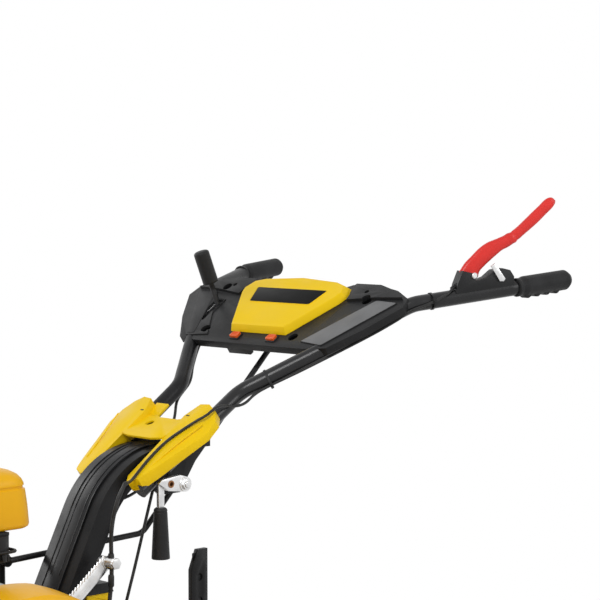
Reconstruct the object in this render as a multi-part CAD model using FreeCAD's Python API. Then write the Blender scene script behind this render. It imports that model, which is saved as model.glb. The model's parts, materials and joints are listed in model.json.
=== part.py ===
"""Walk-behind garden tiller: engine in front, two drive wheels, tine rotor and depth bar behind.

Millimetres, +Z up, the machine's front towards -Y, the operator's left hand on +X.
While modelling, Y = 0 is the drive axle; the finished pieces are moved together so that the
origin lies on the floor at the centre of the outline.
"""
import FreeCAD
import Part
import math
import os
from FreeCAD import Vector

# ---------------------------------------------------------------- driving sizes
RUN_FIT = 0.05            # radial clearance of a shaft that turns in its housing
GAP = 6.0                 # clearance between pieces that move past each other

# wheels
WHEEL_R = 255.0           # over the lug tips
LUG_H = 17.0
TYRE_W = 118.0
TYRE_BEAD_R = 134.0
WHEEL_X = 271.0           # wheel centre from the middle plane
LUGS_PER_SIDE = 16
RING_SIDES = 2 * LUGS_PER_SIDE
LUG_W = 21.0
RIM_T = 4.0
RIM_WELL_DROP = 22.0
RIM_INSET = 22.0
RIM_LIP = 8.0
HUB_R = 34.0
HUB_L = 70.0
AXLE_R = 15.0
AXLE_END = 26.0           # axle end beyond the wheel centre

# tine rotor
ROTOR_Y = 335.0
ROTOR_R = 150.0
ROTOR_FLOOR = 13.0        # tine tips above the floor
ROTOR_HALF = 183.0
ROTOR_SHAFT_R = 15.0
FLANGE_R = 52.0
FLANGE_T = 7.0
FLANGES_PER_SIDE = 3
BLADES_PER_FLANGE = 4
BLADE_W = 34.0
BLADE_T = 6.0
BLADE_FOOT = 40.0

# gear case
ENGINE_BASE = 385.0       # engine's feet on the rails
CASE_HALF = 60.0
CASE_TOP = ENGINE_BASE + 15.0
CASE_FRONT = -88.0
CASE_REAR = 165.0
CASE_TOP_REAR = 206.0
CASE_BOTTOM = 180.0
AXLE_TUBE_R = 36.0
AXLE_TUBE_END = WHEEL_X - HUB_L / 2 - 2 * GAP
DRIVE_HALF = 26.0
DRIVE_HUB_R = 62.0
RIB_T = 7.0

# engine
CRANK_H = 104.0           # crankshaft above the engine's feet
CRANK_Z = ENGINE_BASE + CRANK_H
PTO_FACE = 50.0
CRANKCASE_L = 160.0
CRANKCASE_HALF = 82.0
CRANKCASE_TOP = ENGINE_BASE + 205.0
BELL_R = 68.0
BELL_L = 70.0
CYL_ANGLE = 62.0          # cylinder axis from the vertical, towards the right side
CYL_L = 100.0
CYL_W = 112.0
FIN_N = 7
FIN_T = 3.0
FIN_H = 9.0
SHROUD_R = 101.0
SHROUD_L = 92.0
RECOIL_R = 86.0
RECOIL_L = 44.0
CLEANER_OUT = 166.0
CLEANER_REAR = 30.0
CLEANER_H = 38.0
TANK_HALF = 150.0
TANK_REAR = 62.0
TANK_L = 218.0
TANK_BOTTOM = CRANKCASE_TOP + 65.0
TANK_H = 90.0
TANK_FLANGE = 6.0         # rim around the joint between the tank's halves
MUFFLER_R = 32.0
MUFFLER_L = 150.0
CAP_R = 31.0
CAP_H = 24.0

# frame and bumper
RAIL_X = 84.0
RAIL_W = 38.0
RAIL_T = 5.0
RAIL_REAR = 108.0
RAIL_FRONT = -335.0
BUMPER_R = 12.5
BUMPER_FRONT = -390.0
BUMPER_HALF = 150.0
BUMPER_TOP = 560.0
PAD_HALF = 68.0
PAD_T = 8.0
PAD_H = 96.0
PAD_HOLE_X = 48.0
PAD_HOLE_Z = 34.0
PAD_PITCH_Z = 44.0
PAD_HOLE_R = 5.5

# fenders
FENDER_T = 4.0
FENDER_RISE = 72.0        # fender's crest above the tyre
FENDER_CREST = 2 * WHEEL_R + FENDER_RISE
FENDER_IN = 160.0
FENDER_OUT = 342.0
FENDER_START = -62.0      # degrees from straight up, towards the front
FENDER_END = 58.0
FENDER_CROWN = [          # (distance across the fender, drop below its crest)
    (0.0, 4.0), (22.0, 0.0), (48.0, 1.0), (90.0, 7.5), (98.0, 14.0), (140.0, 18.0),
    (174.0, 26.0), (182.0, 48.0),
]

# column under the handlebar
COL_HALF = 45.0
COL_T = 40.0
COL_LEAN = 63.4           # degrees above the floor
COL_FOOT_Y = 155.0
COL_BEND_R = 170.0
COL_TOP = 736.5
COL_END = 452.0
BAND_HALF = 20.0
BAND_H = 3.0

# handlebar
TILT_Y = 421.0
TILT_Z = 676.0
TILT_BOLT_R = 8.0
TUBE_R = 13.5
TUBE_POINTS = [
    (70.0, 345.0, 670.0),
    (77.0, 560.0, 816.0),
    (264.0, 786.0, 963.0),
    (351.0, 963.0, 989.0),
    (366.8, 1070.0, 998.6),
]
TUBE_BEND = 60.0
GRIP_R = 17.5
GRIP_L = 124.0
GRIP_OVER = 6.0
GRIP_COLLAR = 16.0
GRIP_KNUCKLES = 4
HEAD_T = 6.0
HEAD_IN = COL_HALF + GAP

# wing cover over the handlebar head
WING_Y = 404.0
WING_Z = 743.5
LEAF_SLOPE = 35.8
LEAF_H = 22.0             # depth of the leaf's side walls
LEAF_SKIN = 3.5
LEAF_FOLD_X = 84.0        # where the leaf's top turns down towards its outer edge
LEAF_FALL = 13.0          # degrees that it turns down
LEAF = [                  # outline of one leaf on its own slope, (x, distance up the slope)
    (52.0, -84.0), (60.0, -96.0), (80.0, -88.0), (92.0, -58.0), (110.0, -2.0), (124.0, 38.0),
    (120.0, 70.0), (104.0, 90.0), (84.0, 99.0), (64.0, 97.0), (51.0, 67.0),
]
DECK_FRONT = (402.0, 748.0)
DECK_SLOPE = 20.5
DECK_L = 76.0
DECK_T = 3.5
DECK_HOLE_R = 8.0

# clamp on the tilt bolt
CLAMP_T = 10.0
CLAMP_EYE_R = 12.0
CLAMP_GRIP_R = 14.0
CLAMP_GRIP_L = 78.0

# control console, outlines as (x, distance up its slope)
CONSOLE_Y = 667.0
CONSOLE_Z = 900.0
CONSOLE_SLOPE = 34.6
TRAY_T = 14.0
TRAY_SKIN = 4.0
TRAY = [
    (0.0, -22.0), (138.0, -22.0), (186.0, -16.0), (232.0, 40.0), (272.0, 104.0), (266.0, 128.0),
    (228.0, 148.0), (186.0, 158.0), (114.0, 158.0), (98.0, 148.0), (0.0, 150.0),
]
HUMP = [
    (137.0, 110.0), (135.0, 122.0), (125.0, 148.0), (128.0, 155.0),
    (186.0, 155.0), (224.0, 143.0), (258.0, 124.0),
    (200.0, 120.0),
]
HUMP_H = 6.0
PAD = [(119.0, -6.0), (172.0, -12.0), (253.0, 113.0), (204.0, 116.0)]
PAD_RISE = 2.0
GATE = (-186.0, -166.0, 32.0, 94.0)
COVER_H = 14.0
COVER_FOOT = [(70.0, 8.0), (126.0, 104.0), (130.0, 120.0), (120.0, 144.0), (96.0, 153.0), (0.0, 161.0)]
COVER_CROWN = [(66.0, 15.0), (119.0, 106.0), (122.0, 118.0), (113.0, 138.0), (90.0, 146.0), (0.0, 154.0)]
LAMP_X = 46.0
LAMP_HALF = 11.0

# rear cover
COVER_HALF = 36.0
COVER_L = 52.0
COVER_TOP = 505.0
COVER_SLOTS = 4

# depth bar
ARM_TOP = 392.0
ARM_H = 44.0
BAR_Y = 532.0
BAR_TOP = 542.0
BAR_W = 36.0
BAR_T = 9.0
BAR_HOLE_R = 6.5
BAR_PITCH = 41.0
BAR_FIT = 0.6
SOCKET_T = 7.0
SOCKET_H = 110.0
SOCKET_Z = 330.0
HITCH_R = 9.5
HITCH_T = 16.0

# toothed strap beside the column
QUAD_X = 78.0
QUAD_T = 6.0
QUAD_W = 19.0
QUAD_L = 190.0
QUAD_SLOPE = 38.0
QUAD_TOP = (271.0, 568.0)
TOOTH = 7.0
TOOTH_H = 3.5
CABLE_BOLT_X = 92.0

# shift linkage
POST_X = -74.0
POST_R = 8.0
POST_PIN_R = 4.0
ROD_R = 5.0
ROD_START = (-56.0, 172.0, 561.0)
ROD_BEND = (-56.0, 455.0, 572.0)
ROD_TOP = (-18.0, 730.0, 886.0)

# clutch lever, outlines as (along the tube, above it) from its pivot
LEVER_PIVOT = (313.0, 888.0, 1005.0)
LEVER_HALF = 7.5
LEVER_UPPER = [(-23, 14), (-12, 27), (1, 37), (17, 49), (33, 57), (49, 61), (64, 65), (78, 70), (90, 76),
               (105, 86), (121, 97), (136, 107), (147, 117), (155, 121), (164, 120), (170, 111)]
LEVER_LOWER = [(166, 103), (158, 96), (145, 89), (131, 80), (115, 70), (98, 60), (87, 53), (69, 45), (58, 42),
               (48, 37), (34, 29), (21, 21), (9, 12), (4, 2)]

CABLE_R = 3.4
THIN_CABLE_R = 2.6
CABLE_TUBE_GAP = 1.8
CLUTCH_START = (299.8, 850.1, 990.8)
# leg of the tube, share of that leg, turn about the tube (0 is below, 90 outward)
CLUTCH_ON_TUBE = [(2, 0.31, 128), (2, 0.22, 104), (2, 0.11, 82), (1, 0.97, 66), (1, 0.88, 50), (1, 0.70, 36),
                  (1, 0.36, 36), (1, 0.10, 44)]
THROTTLE_ON_TUBE = [(1, 0.54, -60), (1, 0.44, -32), (1, 0.28, -28), (1, 0.10, -36)]
CABLE_RUNS = [
    ("clutch_cable", [
        (100, 552, 813), (97, 524, 812), (95, 494, 813), (97, 456, 789.5),
        (82, 424, 767), (71, 394, 744.5), (70, 352, 714), (82, 318, 694), (92, 300, 690),
    ], CABLE_R),
    ("clutch_cable_lower", [
        (92, 300, 690), (97, 291, 688), (95, 276, 660), (92, 268, 612), (92, 267, 530),
        (90, 250, 460), (82, 196, 418), (68, 150, 404),
    ], CABLE_R),
    ("throttle_cable", [
        (-80, 556, 790), (-62, 531, 756), (-46, 484, 690), (-41, 430, 648), (-40, 345, 622), (-40, 300, 560),
        (-44, 268, 470), (-52, 226, 424), (-59.5, 172, 409), (-62, 110, 414),
        (-70, 78, 436), (-70, 50.6, 436),
    ], THIN_CABLE_R),
    ("reverse_cable", [
        (48, 388, 654), (48, 372, 604), (48, 345, 520), (47, 322, 456), (46, 292, 414), (42, 250, 396),
        (38, 212, 389),
    ], THIN_CABLE_R),
]

GRIP_END_Y = TUBE_POINTS[-1][1] + GRIP_OVER
FRONT_REACH = BUMPER_FRONT - BUMPER_R
CENTRE_SHIFT = -(GRIP_END_Y + FRONT_REACH) / 2
ROTOR_Z = ROTOR_R + ROTOR_FLOOR

parts = {}


# ---------------------------------------------------------------- helpers
def rad(degrees):
    return math.radians(degrees)


def block(x0, x1, y0, y1, z0, z1):
    return Part.makeBox(x1 - x0, y1 - y0, z1 - z0, Vector(x0, y0, z0))


def rod(start, direction, radius, length):
    return Part.makeCylinder(radius, length, Vector(*start), Vector(*direction))


def bar_between(a, b, radius):
    a, b = Vector(*a), Vector(*b)
    return Part.makeCylinder(radius, (b - a).Length, a, b - a)


def side_plate(points, x0, x1):
    """Outline given as (y, z), standing across the machine from x0 to x1."""
    ring = [Vector(x0, y, z) for y, z in points]
    face = Part.Face(Part.makePolygon(ring + ring[:1]))
    return face.extrude(Vector(x1 - x0, 0, 0))


def front_plate(points, y0, y1):
    """Outline given as (x, z), standing along the machine from y0 to y1."""
    ring = [Vector(x, y0, z) for x, z in points]
    face = Part.Face(Part.makePolygon(ring + ring[:1]))
    return face.extrude(Vector(0, y1 - y0, 0))


def flat_plate(points, z0, z1):
    """Outline given as (x, y), lying from z0 to z1."""
    ring = [Vector(x, y, z0) for x, y in points]
    face = Part.Face(Part.makePolygon(ring + ring[:1]))
    return face.extrude(Vector(0, 0, z1 - z0))


def fuse(first, *rest):
    return first.multiFuse(list(rest)).removeSplitter() if rest else first


def mirrored(shape):
    return shape.mirror(Vector(0, 0, 0), Vector(1, 0, 0))


def rounded_path(points, radius):
    """Straight runs joined by tangent arcs of the given radius (or one radius per corner)."""
    pts = [Vector(*p) for p in points]
    radii = radius if isinstance(radius, list) else [radius] * (len(pts) - 2)
    edges = []
    start = pts[0]
    for before, corner, after, r in zip(pts, pts[1:], pts[2:], radii):
        u = (before - corner).normalize()
        w = (after - corner).normalize()
        half = u.getAngle(w) / 2
        reach = r / math.tan(half)
        a = corner + u * reach
        b = corner + w * reach
        inward = (u + w).normalize()
        middle = corner + inward * (r / math.sin(half) - r)
        edges.append(Part.LineSegment(start, a).toShape())
        edges.append(Part.Arc(a, middle, b).toShape())
        start = b
    edges.append(Part.LineSegment(start, pts[-1]).toShape())
    return Part.Wire(edges)


def pipe(points, bend, radius):
    wire = rounded_path(points, bend)
    first = Vector(*points[0])
    heading = Vector(*points[1]) - first
    circle = Part.Wire(Part.makeCircle(radius, first, heading))
    return wire.makePipeShell([circle], True, False)


def cable_bends(points):
    """As large an arc at each corner as its two runs allow."""
    pts = [Vector(*p) for p in points]
    bends = []
    for before, corner, after in zip(pts, pts[1:], pts[2:]):
        run = min((before - corner).Length, (after - corner).Length)
        turn = math.pi - (before - corner).getAngle(after - corner)
        bends.append(0.45 * run / math.tan(turn / 2))
    return bends


def sloped(shape, y, z, slope):
    """Turn a shape modelled flat about its own origin up to a slope, and set it in place."""
    shape = shape.copy()
    shape.rotate(Vector(0, 0, 0), Vector(1, 0, 0), slope)
    shape.translate(Vector(0, y, z))
    return shape


def keep(name, shape):
    parts[name] = shape


# ---------------------------------------------------------------- drive wheels
def flat_sided_ring(outline):
    """Ring about the X axis from an (x, radius) outline, each band made of flat sides."""
    step = 2 * math.pi / RING_SIDES
    rings = []
    for i in range(RING_SIDES):
        turn = (i + 0.5) * step
        rings.append([Vector(x, r * math.sin(turn), r * math.cos(turn)) for x, r in outline])
    faces = []
    for a, b in zip(rings, rings[1:] + rings[:1]):
        for k in range(len(outline)):
            n = (k + 1) % len(outline)
            faces.append(Part.Face(Part.makePolygon([a[k], a[n], b[n], b[k], a[k]])))
    ring = Part.makeSolid(Part.makeShell(faces))
    if ring.Volume < 0:
        ring.reverse()
    return ring


def tyre_carcass():
    half = TYRE_W / 2
    crown = WHEEL_R - LUG_H
    shoulder = crown - 14
    bead = half - RIM_INSET
    profile = [
        (bead, TYRE_BEAD_R),
        (bead, TYRE_BEAD_R + RIM_LIP),
        (half - 6, TYRE_BEAD_R + RIM_LIP + 8),
        (half, (TYRE_BEAD_R + shoulder) / 2 + 12),
        (half - 4, shoulder),
        (half - 26, crown - 3),
        (0, crown),
    ]
    return flat_sided_ring(profile + [(-x, r) for x, r in reversed(profile[:-1])])


def tyre_lug(side):
    """One bar of the chevron tread, from the crown out over the shoulder."""
    half = TYRE_W / 2
    base = WHEEL_R - LUG_H - 8
    plan = [(0, -LUG_W / 2), (0, LUG_W / 2), (half, LUG_W * 1.6), (half, LUG_W * 0.75)]
    plan = [(side * x, y) for x, y in plan]
    lug = flat_plate(plan, base, WHEEL_R)
    bevel_x, bevel_z = 20.0, 15.0
    corner = [(side * (half - bevel_x), WHEEL_R), (side * half, WHEEL_R), (side * half, WHEEL_R - bevel_z)]
    return lug.cut(front_plate(corner, -LUG_W * 2, LUG_W * 3))


def tyre():
    body = tyre_carcass()
    step = 360.0 / LUGS_PER_SIDE
    lugs = []
    for i in range(LUGS_PER_SIDE):
        for side, lead in ((1, 0.0), (-1, 0.5)):
            lug = tyre_lug(side)
            lug.rotate(Vector(0, 0, 0), Vector(1, 0, 0), step * (i + lead))
            lugs.append(lug)
    tread = rod((-TYRE_W, 0, 0), (1, 0, 0), WHEEL_R, 2 * TYRE_W)
    return body.multiFuse(lugs).common(tread)


def rim():
    half = TYRE_W / 2 - RIM_INSET
    well = TYRE_BEAD_R - RIM_WELL_DROP
    lip = TYRE_BEAD_R + RIM_LIP
    profile = [
        (-half - RIM_LIP, lip), (-half, lip), (-half, TYRE_BEAD_R), (-half + 14, TYRE_BEAD_R),
        (-half + 24, well), (half - 24, well), (half - 14, TYRE_BEAD_R), (half, TYRE_BEAD_R),
        (half, lip), (half + RIM_LIP, lip), (half + RIM_LIP, TYRE_BEAD_R - RIM_T),
        (half - 12, TYRE_BEAD_R - RIM_T), (half - 22, well - RIM_T), (-half + 22, well - RIM_T),
        (-half + 12, TYRE_BEAD_R - RIM_T), (-half - RIM_LIP, TYRE_BEAD_R - RIM_T),
    ]
    barrel = flat_sided_ring(profile)
    dish = [(0, HUB_R - 2), (8, HUB_R + 26), (-6, well - RIM_T + 1), (-6 - RIM_T, well - RIM_T + 1),
            (8 - RIM_T, HUB_R + 26), (-RIM_T, HUB_R - 2)]
    disc = flat_sided_ring(dish)
    windows = []
    for i in range(6):
        window = rod((-30, 0, (HUB_R + well) / 2 + 9), (1, 0, 0), 11, 60)
        window.rotate(Vector(0, 0, 0), Vector(1, 0, 0), 60 * i)
        windows.append(window)
    disc = disc.cut(Part.makeCompound(windows))
    hub = rod((-HUB_L / 2, 0, 0), (1, 0, 0), HUB_R, HUB_L)
    wheel = fuse(barrel, disc, hub)
    return wheel.cut(rod((-HUB_L, 0, 0), (1, 0, 0), AXLE_R, 2 * HUB_L))


def build_wheels():
    reach = WHEEL_X + HUB_L / 2 + AXLE_END - 14
    axle = rod((-reach, 0, WHEEL_R), (1, 0, 0), AXLE_R, 2 * reach)
    keep("drive_axle", axle)
    for name, x in (("left", WHEEL_X), ("right", -WHEEL_X)):
        for kind, shape in (("tyre", tyre()), ("rim", rim())):
            if x < 0:
                shape = mirrored(shape)
            shape.translate(Vector(x, 0, WHEEL_R))
            keep(kind + "_" + name, shape)


# ---------------------------------------------------------------- tine rotor
def blade(sense):
    """L-shaped tine standing on a flange, its foot bent sideways by `sense`."""
    tip = ROTOR_R
    root = FLANGE_R - 20
    leg = [(-BLADE_W / 2, root), (BLADE_W / 2, root), (BLADE_W / 2 + 10, tip - 26),
           (BLADE_W / 2 + 20, tip - 8), (4, tip - 4), (-BLADE_W / 2 + 4, tip - 44)]
    shank = side_plate(leg, 0, BLADE_T)
    foot_height = 7.0
    foot = [(-2, tip - foot_height), (BLADE_W / 2 + 19, tip - 16), (BLADE_W / 2 + 20, tip - 10), (0, tip - 1)]
    toe = side_plate(foot, 0, BLADE_FOOT)
    tine = fuse(shank, toe)
    trim = rod((-1, 0, 0), (1, 0, 0), tip, BLADE_FOOT + 2)
    tine = tine.common(trim)
    if sense < 0:
        tine = mirrored(tine)
    return tine


def tine_gang():
    """Flanges with their blades and the sleeve that carries them, for the left half."""
    inner = DRIVE_HALF + GAP
    sleeve_r = ROTOR_SHAFT_R + 7
    sleeve = rod((inner, 0, 0), (1, 0, 0), sleeve_r, ROTOR_HALF - inner)
    pieces = []
    span = ROTOR_HALF - inner - FLANGE_T
    for i in range(FLANGES_PER_SIDE):
        x = inner + span * i / (FLANGES_PER_SIDE - 1)
        pieces.append(rod((x, 0, 0), (1, 0, 0), FLANGE_R, FLANGE_T))
        outermost = i == FLANGES_PER_SIDE - 1
        for k in range(BLADES_PER_FLANGE):
            inward = outermost or (k % 2 == 1 and i > 0)
            tine = blade(-1 if inward else 1)
            tine.translate(Vector(x if inward else x + FLANGE_T, 0, 0))
            turn = 360.0 / BLADES_PER_FLANGE * k + 30.0 * i
            tine.rotate(Vector(0, 0, 0), Vector(1, 0, 0), turn)
            pieces.append(tine)
    gang = fuse(sleeve, *pieces)
    return gang.cut(rod((0, 0, 0), (1, 0, 0), ROTOR_SHAFT_R, ROTOR_HALF + 20))


def build_rotor():
    shaft = rod((-ROTOR_HALF, 0, 0), (1, 0, 0), ROTOR_SHAFT_R, 2 * ROTOR_HALF)
    left = tine_gang()
    right = mirrored(left)
    for name, shape in (("rotor_shaft", shaft), ("tines_left", left), ("tines_right", right)):
        shape.translate(Vector(0, ROTOR_Y, ROTOR_Z))
        keep(name, shape)


# ---------------------------------------------------------------- gear case and frame
def build_gear_case():
    saddle = ENGINE_BASE - 40
    outline = [
        (CASE_FRONT, CASE_BOTTOM + 30), (CASE_FRONT + 30, CASE_BOTTOM), (CASE_REAR - 30, CASE_BOTTOM),
        (CASE_REAR, CASE_BOTTOM + 40), (CASE_TOP_REAR, CASE_TOP - 100), (CASE_TOP_REAR, CASE_TOP),
        (PTO_FACE + 6, CASE_TOP), (PTO_FACE + 6, saddle), (CASE_FRONT, saddle),
    ]
    case = side_plate(outline, -CASE_HALF, CASE_HALF)
    case = case.makeFillet(12, [e for e in case.Edges if abs(e.tangentAt(e.FirstParameter).x) > 0.99])
    tube = rod((-AXLE_TUBE_END, 0, WHEEL_R), (1, 0, 0), AXLE_TUBE_R, 2 * AXLE_TUBE_END)
    flange = rod((-CASE_HALF - 16, 0, WHEEL_R), (1, 0, 0), AXLE_TUBE_R + 24, 2 * (CASE_HALF + 16))
    neck_z = ROTOR_Z + 30
    arm = [
        (CASE_REAR - 20, CASE_BOTTOM + 8), (ROTOR_Y, ROTOR_Z - DRIVE_HUB_R + 22), (ROTOR_Y, ROTOR_Z + 52),
        (CASE_REAR - 20, neck_z + 92),
    ]
    drive = side_plate(arm, -DRIVE_HALF, DRIVE_HALF)
    drum = rod((-DRIVE_HALF, ROTOR_Y, ROTOR_Z), (1, 0, 0), DRIVE_HUB_R, 2 * DRIVE_HALF)
    ribs = []
    for y in (CASE_FRONT + 40, CASE_FRONT + 110, CASE_REAR - 62):
        ribs.append(block(-CASE_HALF - 5, CASE_HALF + 5, y, y + RIB_T, CASE_BOTTOM + 12, saddle - 8))
    case = fuse(case, tube, flange, drive, drum, *ribs)
    case = case.cut(rod((-WHEEL_X, 0, WHEEL_R), (1, 0, 0), AXLE_R + RUN_FIT, 2 * WHEEL_X))
    case = case.cut(rod((-WHEEL_X, ROTOR_Y, ROTOR_Z), (1, 0, 0), ROTOR_SHAFT_R + RUN_FIT, 2 * WHEEL_X))
    keep("gear_case", case)


def build_clutch_housing():
    """Bell between the engine's drive face and the gear case, with its foot on the case."""
    bell = Part.makeCone(BELL_R, BELL_R - 16, BELL_L, Vector(0, PTO_FACE, CRANK_Z), Vector(0, 1, 0))
    foot = block(-CASE_HALF + 10, CASE_HALF - 10, PTO_FACE + 6, PTO_FACE + BELL_L, CASE_TOP, CRANK_Z)
    collar = rod((0, PTO_FACE, CRANK_Z), (0, 1, 0), BELL_R + 6, 10)
    keep("clutch_housing", fuse(bell, foot, collar))


def build_frame():
    """Two channel rails under the engine, joined by cross plates."""
    rails = []
    for side in (1, -1):
        x = side * RAIL_X
        outer = block(x - RAIL_W / 2, x + RAIL_W / 2, RAIL_FRONT, RAIL_REAR,
                      ENGINE_BASE - 40, ENGINE_BASE)
        inner = block(x - RAIL_W / 2 + RAIL_T, x + RAIL_W / 2 - RAIL_T, RAIL_FRONT - 1, RAIL_REAR + 1,
                      ENGINE_BASE - 41, ENGINE_BASE - RAIL_T)
        rails.append(outer.cut(inner))
    cross = [
        block(-RAIL_X, RAIL_X, RAIL_FRONT, RAIL_FRONT + RAIL_T, ENGINE_BASE - 40, ENGINE_BASE),
        block(-RAIL_X, RAIL_X, CASE_FRONT - 40, CASE_FRONT, ENGINE_BASE - 12, ENGINE_BASE),
    ]
    keep("engine_frame", fuse(rails[0], rails[1], *cross))


def build_bumper():
    low = ENGINE_BASE - 20
    hoop = [
        (-BUMPER_HALF, BUMPER_FRONT, low), (-BUMPER_HALF, BUMPER_FRONT, BUMPER_TOP),
        (BUMPER_HALF, BUMPER_FRONT, BUMPER_TOP), (BUMPER_HALF, BUMPER_FRONT, low),
    ]
    loop = pipe(hoop, 60, BUMPER_R)
    stays = []
    for side in (1, -1):
        x = side * RAIL_X
        stays.append(bar_between((x, RAIL_FRONT, low), (x, BUMPER_FRONT, low), BUMPER_R))
    beam = bar_between((-BUMPER_HALF, BUMPER_FRONT, low), (BUMPER_HALF, BUMPER_FRONT, low), BUMPER_R)
    pad = block(-PAD_HALF, PAD_HALF, BUMPER_FRONT - PAD_T / 2, BUMPER_FRONT + PAD_T / 2, low, low + PAD_H)
    for x in (-PAD_HOLE_X, PAD_HOLE_X):
        for z in (low + PAD_HOLE_Z, low + PAD_HOLE_Z + PAD_PITCH_Z):
            pad = pad.cut(rod((x, BUMPER_FRONT - 20, z), (0, 1, 0), PAD_HOLE_R, 40))
    keep("front_bumper", fuse(loop, beam, pad, *stays))


# ---------------------------------------------------------------- engine
def build_engine():
    front = PTO_FACE - CRANKCASE_L
    case = block(-CRANKCASE_HALF, CRANKCASE_HALF, front, PTO_FACE, ENGINE_BASE, CRANKCASE_TOP)
    edges = [e for e in case.Edges
             if abs(e.tangentAt(e.FirstParameter).y) > 0.99 and e.CenterOfMass.z > CRANK_Z]
    case = case.makeFillet(34, edges)
    keep("engine_block", case)

    axis = Vector(-math.sin(rad(CYL_ANGLE)), 0, math.cos(rad(CYL_ANGLE)))
    mid_y = (front + PTO_FACE) / 2
    barrel = Part.makeBox(CYL_W - 2 * FIN_H, CYL_W - 2 * FIN_H, CYL_L,
                          Vector(-(CYL_W / 2 - FIN_H), -(CYL_W / 2 - FIN_H), 0))
    fins = []
    start = CRANKCASE_HALF - 22
    for i in range(FIN_N):
        z = start + 28 + i * (CYL_L - 48) / (FIN_N - 1)
        fins.append(Part.makeBox(CYL_W, CYL_W, FIN_T, Vector(-CYL_W / 2, -CYL_W / 2, z)))
    head = Part.makeBox(CYL_W - 8, CYL_W - 8, 30, Vector(-CYL_W / 2 + 4, -CYL_W / 2 + 4, start + CYL_L - 16))
    barrel.translate(Vector(0, 0, start))
    cylinder = fuse(barrel, head, *fins)
    cylinder.rotate(Vector(0, 0, 0), Vector(0, 1, 0), -CYL_ANGLE)
    cylinder.translate(Vector(0, mid_y, CRANK_Z))
    cylinder = cylinder.cut(case)
    keep("engine_cylinder", cylinder)

    shroud = rod((0, front - SHROUD_L, CRANK_Z), (0, 1, 0), SHROUD_R, SHROUD_L)
    keep("fan_shroud", shroud)
    recoil = Part.makeCone(RECOIL_R - 22, RECOIL_R, RECOIL_L, Vector(0, front - SHROUD_L - RECOIL_L, CRANK_Z),
                           Vector(0, 1, 0))
    keep("recoil_starter", recoil)

    build_tank(front)
    build_air_cleaner(front)
    port = axis * (start + CYL_L)
    silencer_z = FENDER_CREST + GAP + MUFFLER_R
    silencer_x = -TANK_HALF - GAP - MUFFLER_R
    silencer = rod((silencer_x, mid_y - MUFFLER_L / 2, silencer_z), (0, 1, 0), MUFFLER_R, MUFFLER_L)
    port += Vector(math.cos(rad(CYL_ANGLE)), 0, math.sin(rad(CYL_ANGLE))) * (CYL_W / 2 - 20)
    stub = bar_between((port.x, mid_y, CRANK_Z + port.z), (silencer_x, mid_y, silencer_z), 11)
    silencer = fuse(silencer, stub).cut(cylinder).cut(case)
    keep("muffler", silencer)


def tank_ring(inset, chamfer, z):
    """Eight-sided outline of the tank, drawn in by `inset`, at height z."""
    half = TANK_HALF - inset
    y0, y1 = TANK_REAR - TANK_L + inset, TANK_REAR - inset
    corners = [(half - chamfer, y0), (half, y0 + chamfer), (half, y1 - chamfer), (half - chamfer, y1)]
    ring = [Vector(x, y, z) for x, y in corners + [(-x, y) for x, y in reversed(corners)]]
    return Part.makePolygon(ring + ring[:1])


def build_tank(front):
    """Two pressed halves joined at a flange, on a saddle above the crankcase."""
    steps = [(5, 16, 0.0), (0, 14, 10.0), (2, 16, 60.0), (8, 20, 74.0), (20, 28, 84.0), (36, 34, TANK_H)]
    layers = [tank_ring(inset, chamfer, TANK_BOTTOM + z) for inset, chamfer, z in steps]
    tank = Part.makeLoft(layers, True, True)
    seam_z = TANK_BOTTOM + 62
    lip = 2 - TANK_FLANGE / 3
    rings = [tank_ring(lip, 15, seam_z), tank_ring(lip, 15, seam_z + TANK_FLANGE / 2)]
    flange = Part.makeLoft(rings, True, True)
    stand = block(-60, 60, front + 10, PTO_FACE - 10, CRANKCASE_TOP, TANK_BOTTOM)
    keep("fuel_tank", fuse(tank, flange, stand))
    cap_y = TANK_REAR - TANK_L / 2
    cap = rod((-70, cap_y, TANK_BOTTOM + TANK_H), (0, 0, 1), CAP_R, CAP_H)
    notches = []
    for i in range(8):
        notch = rod((CAP_R + 2, 0, TANK_BOTTOM + TANK_H - 1), (0, 0, 1), 5, CAP_H + 2)
        notch.rotate(Vector(0, 0, 0), Vector(0, 0, 1), 45 * i)
        notch.translate(Vector(-70, cap_y, 0))
        notches.append(notch)
    keep("tank_cap", cap.cut(Part.makeCompound(notches)))


def build_air_cleaner(front):
    """Flat round-cornered air cleaner beside the tank's saddle, with the duct to the cylinder side."""
    top = TANK_BOTTOM - GAP
    x0, x1 = CRANKCASE_HALF - 10, CLEANER_OUT
    bowl = block(x0, x1, front - 6, CLEANER_REAR, top - CLEANER_H, top)
    upright = [e for e in bowl.Edges if abs(e.tangentAt(e.FirstParameter).z) > 0.99]
    bowl = bowl.makeFillet(30, upright)
    lid = block(x0 + 8, x1 - 8, front + 2, CLEANER_REAR - 8, top, top + GAP - 1)
    duct = block(CRANKCASE_HALF, CRANKCASE_HALF + 24, front + 40, front + 92, CRANK_Z + 50, top - CLEANER_H)
    keep("air_cleaner", fuse(bowl, lid, duct))


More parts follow.
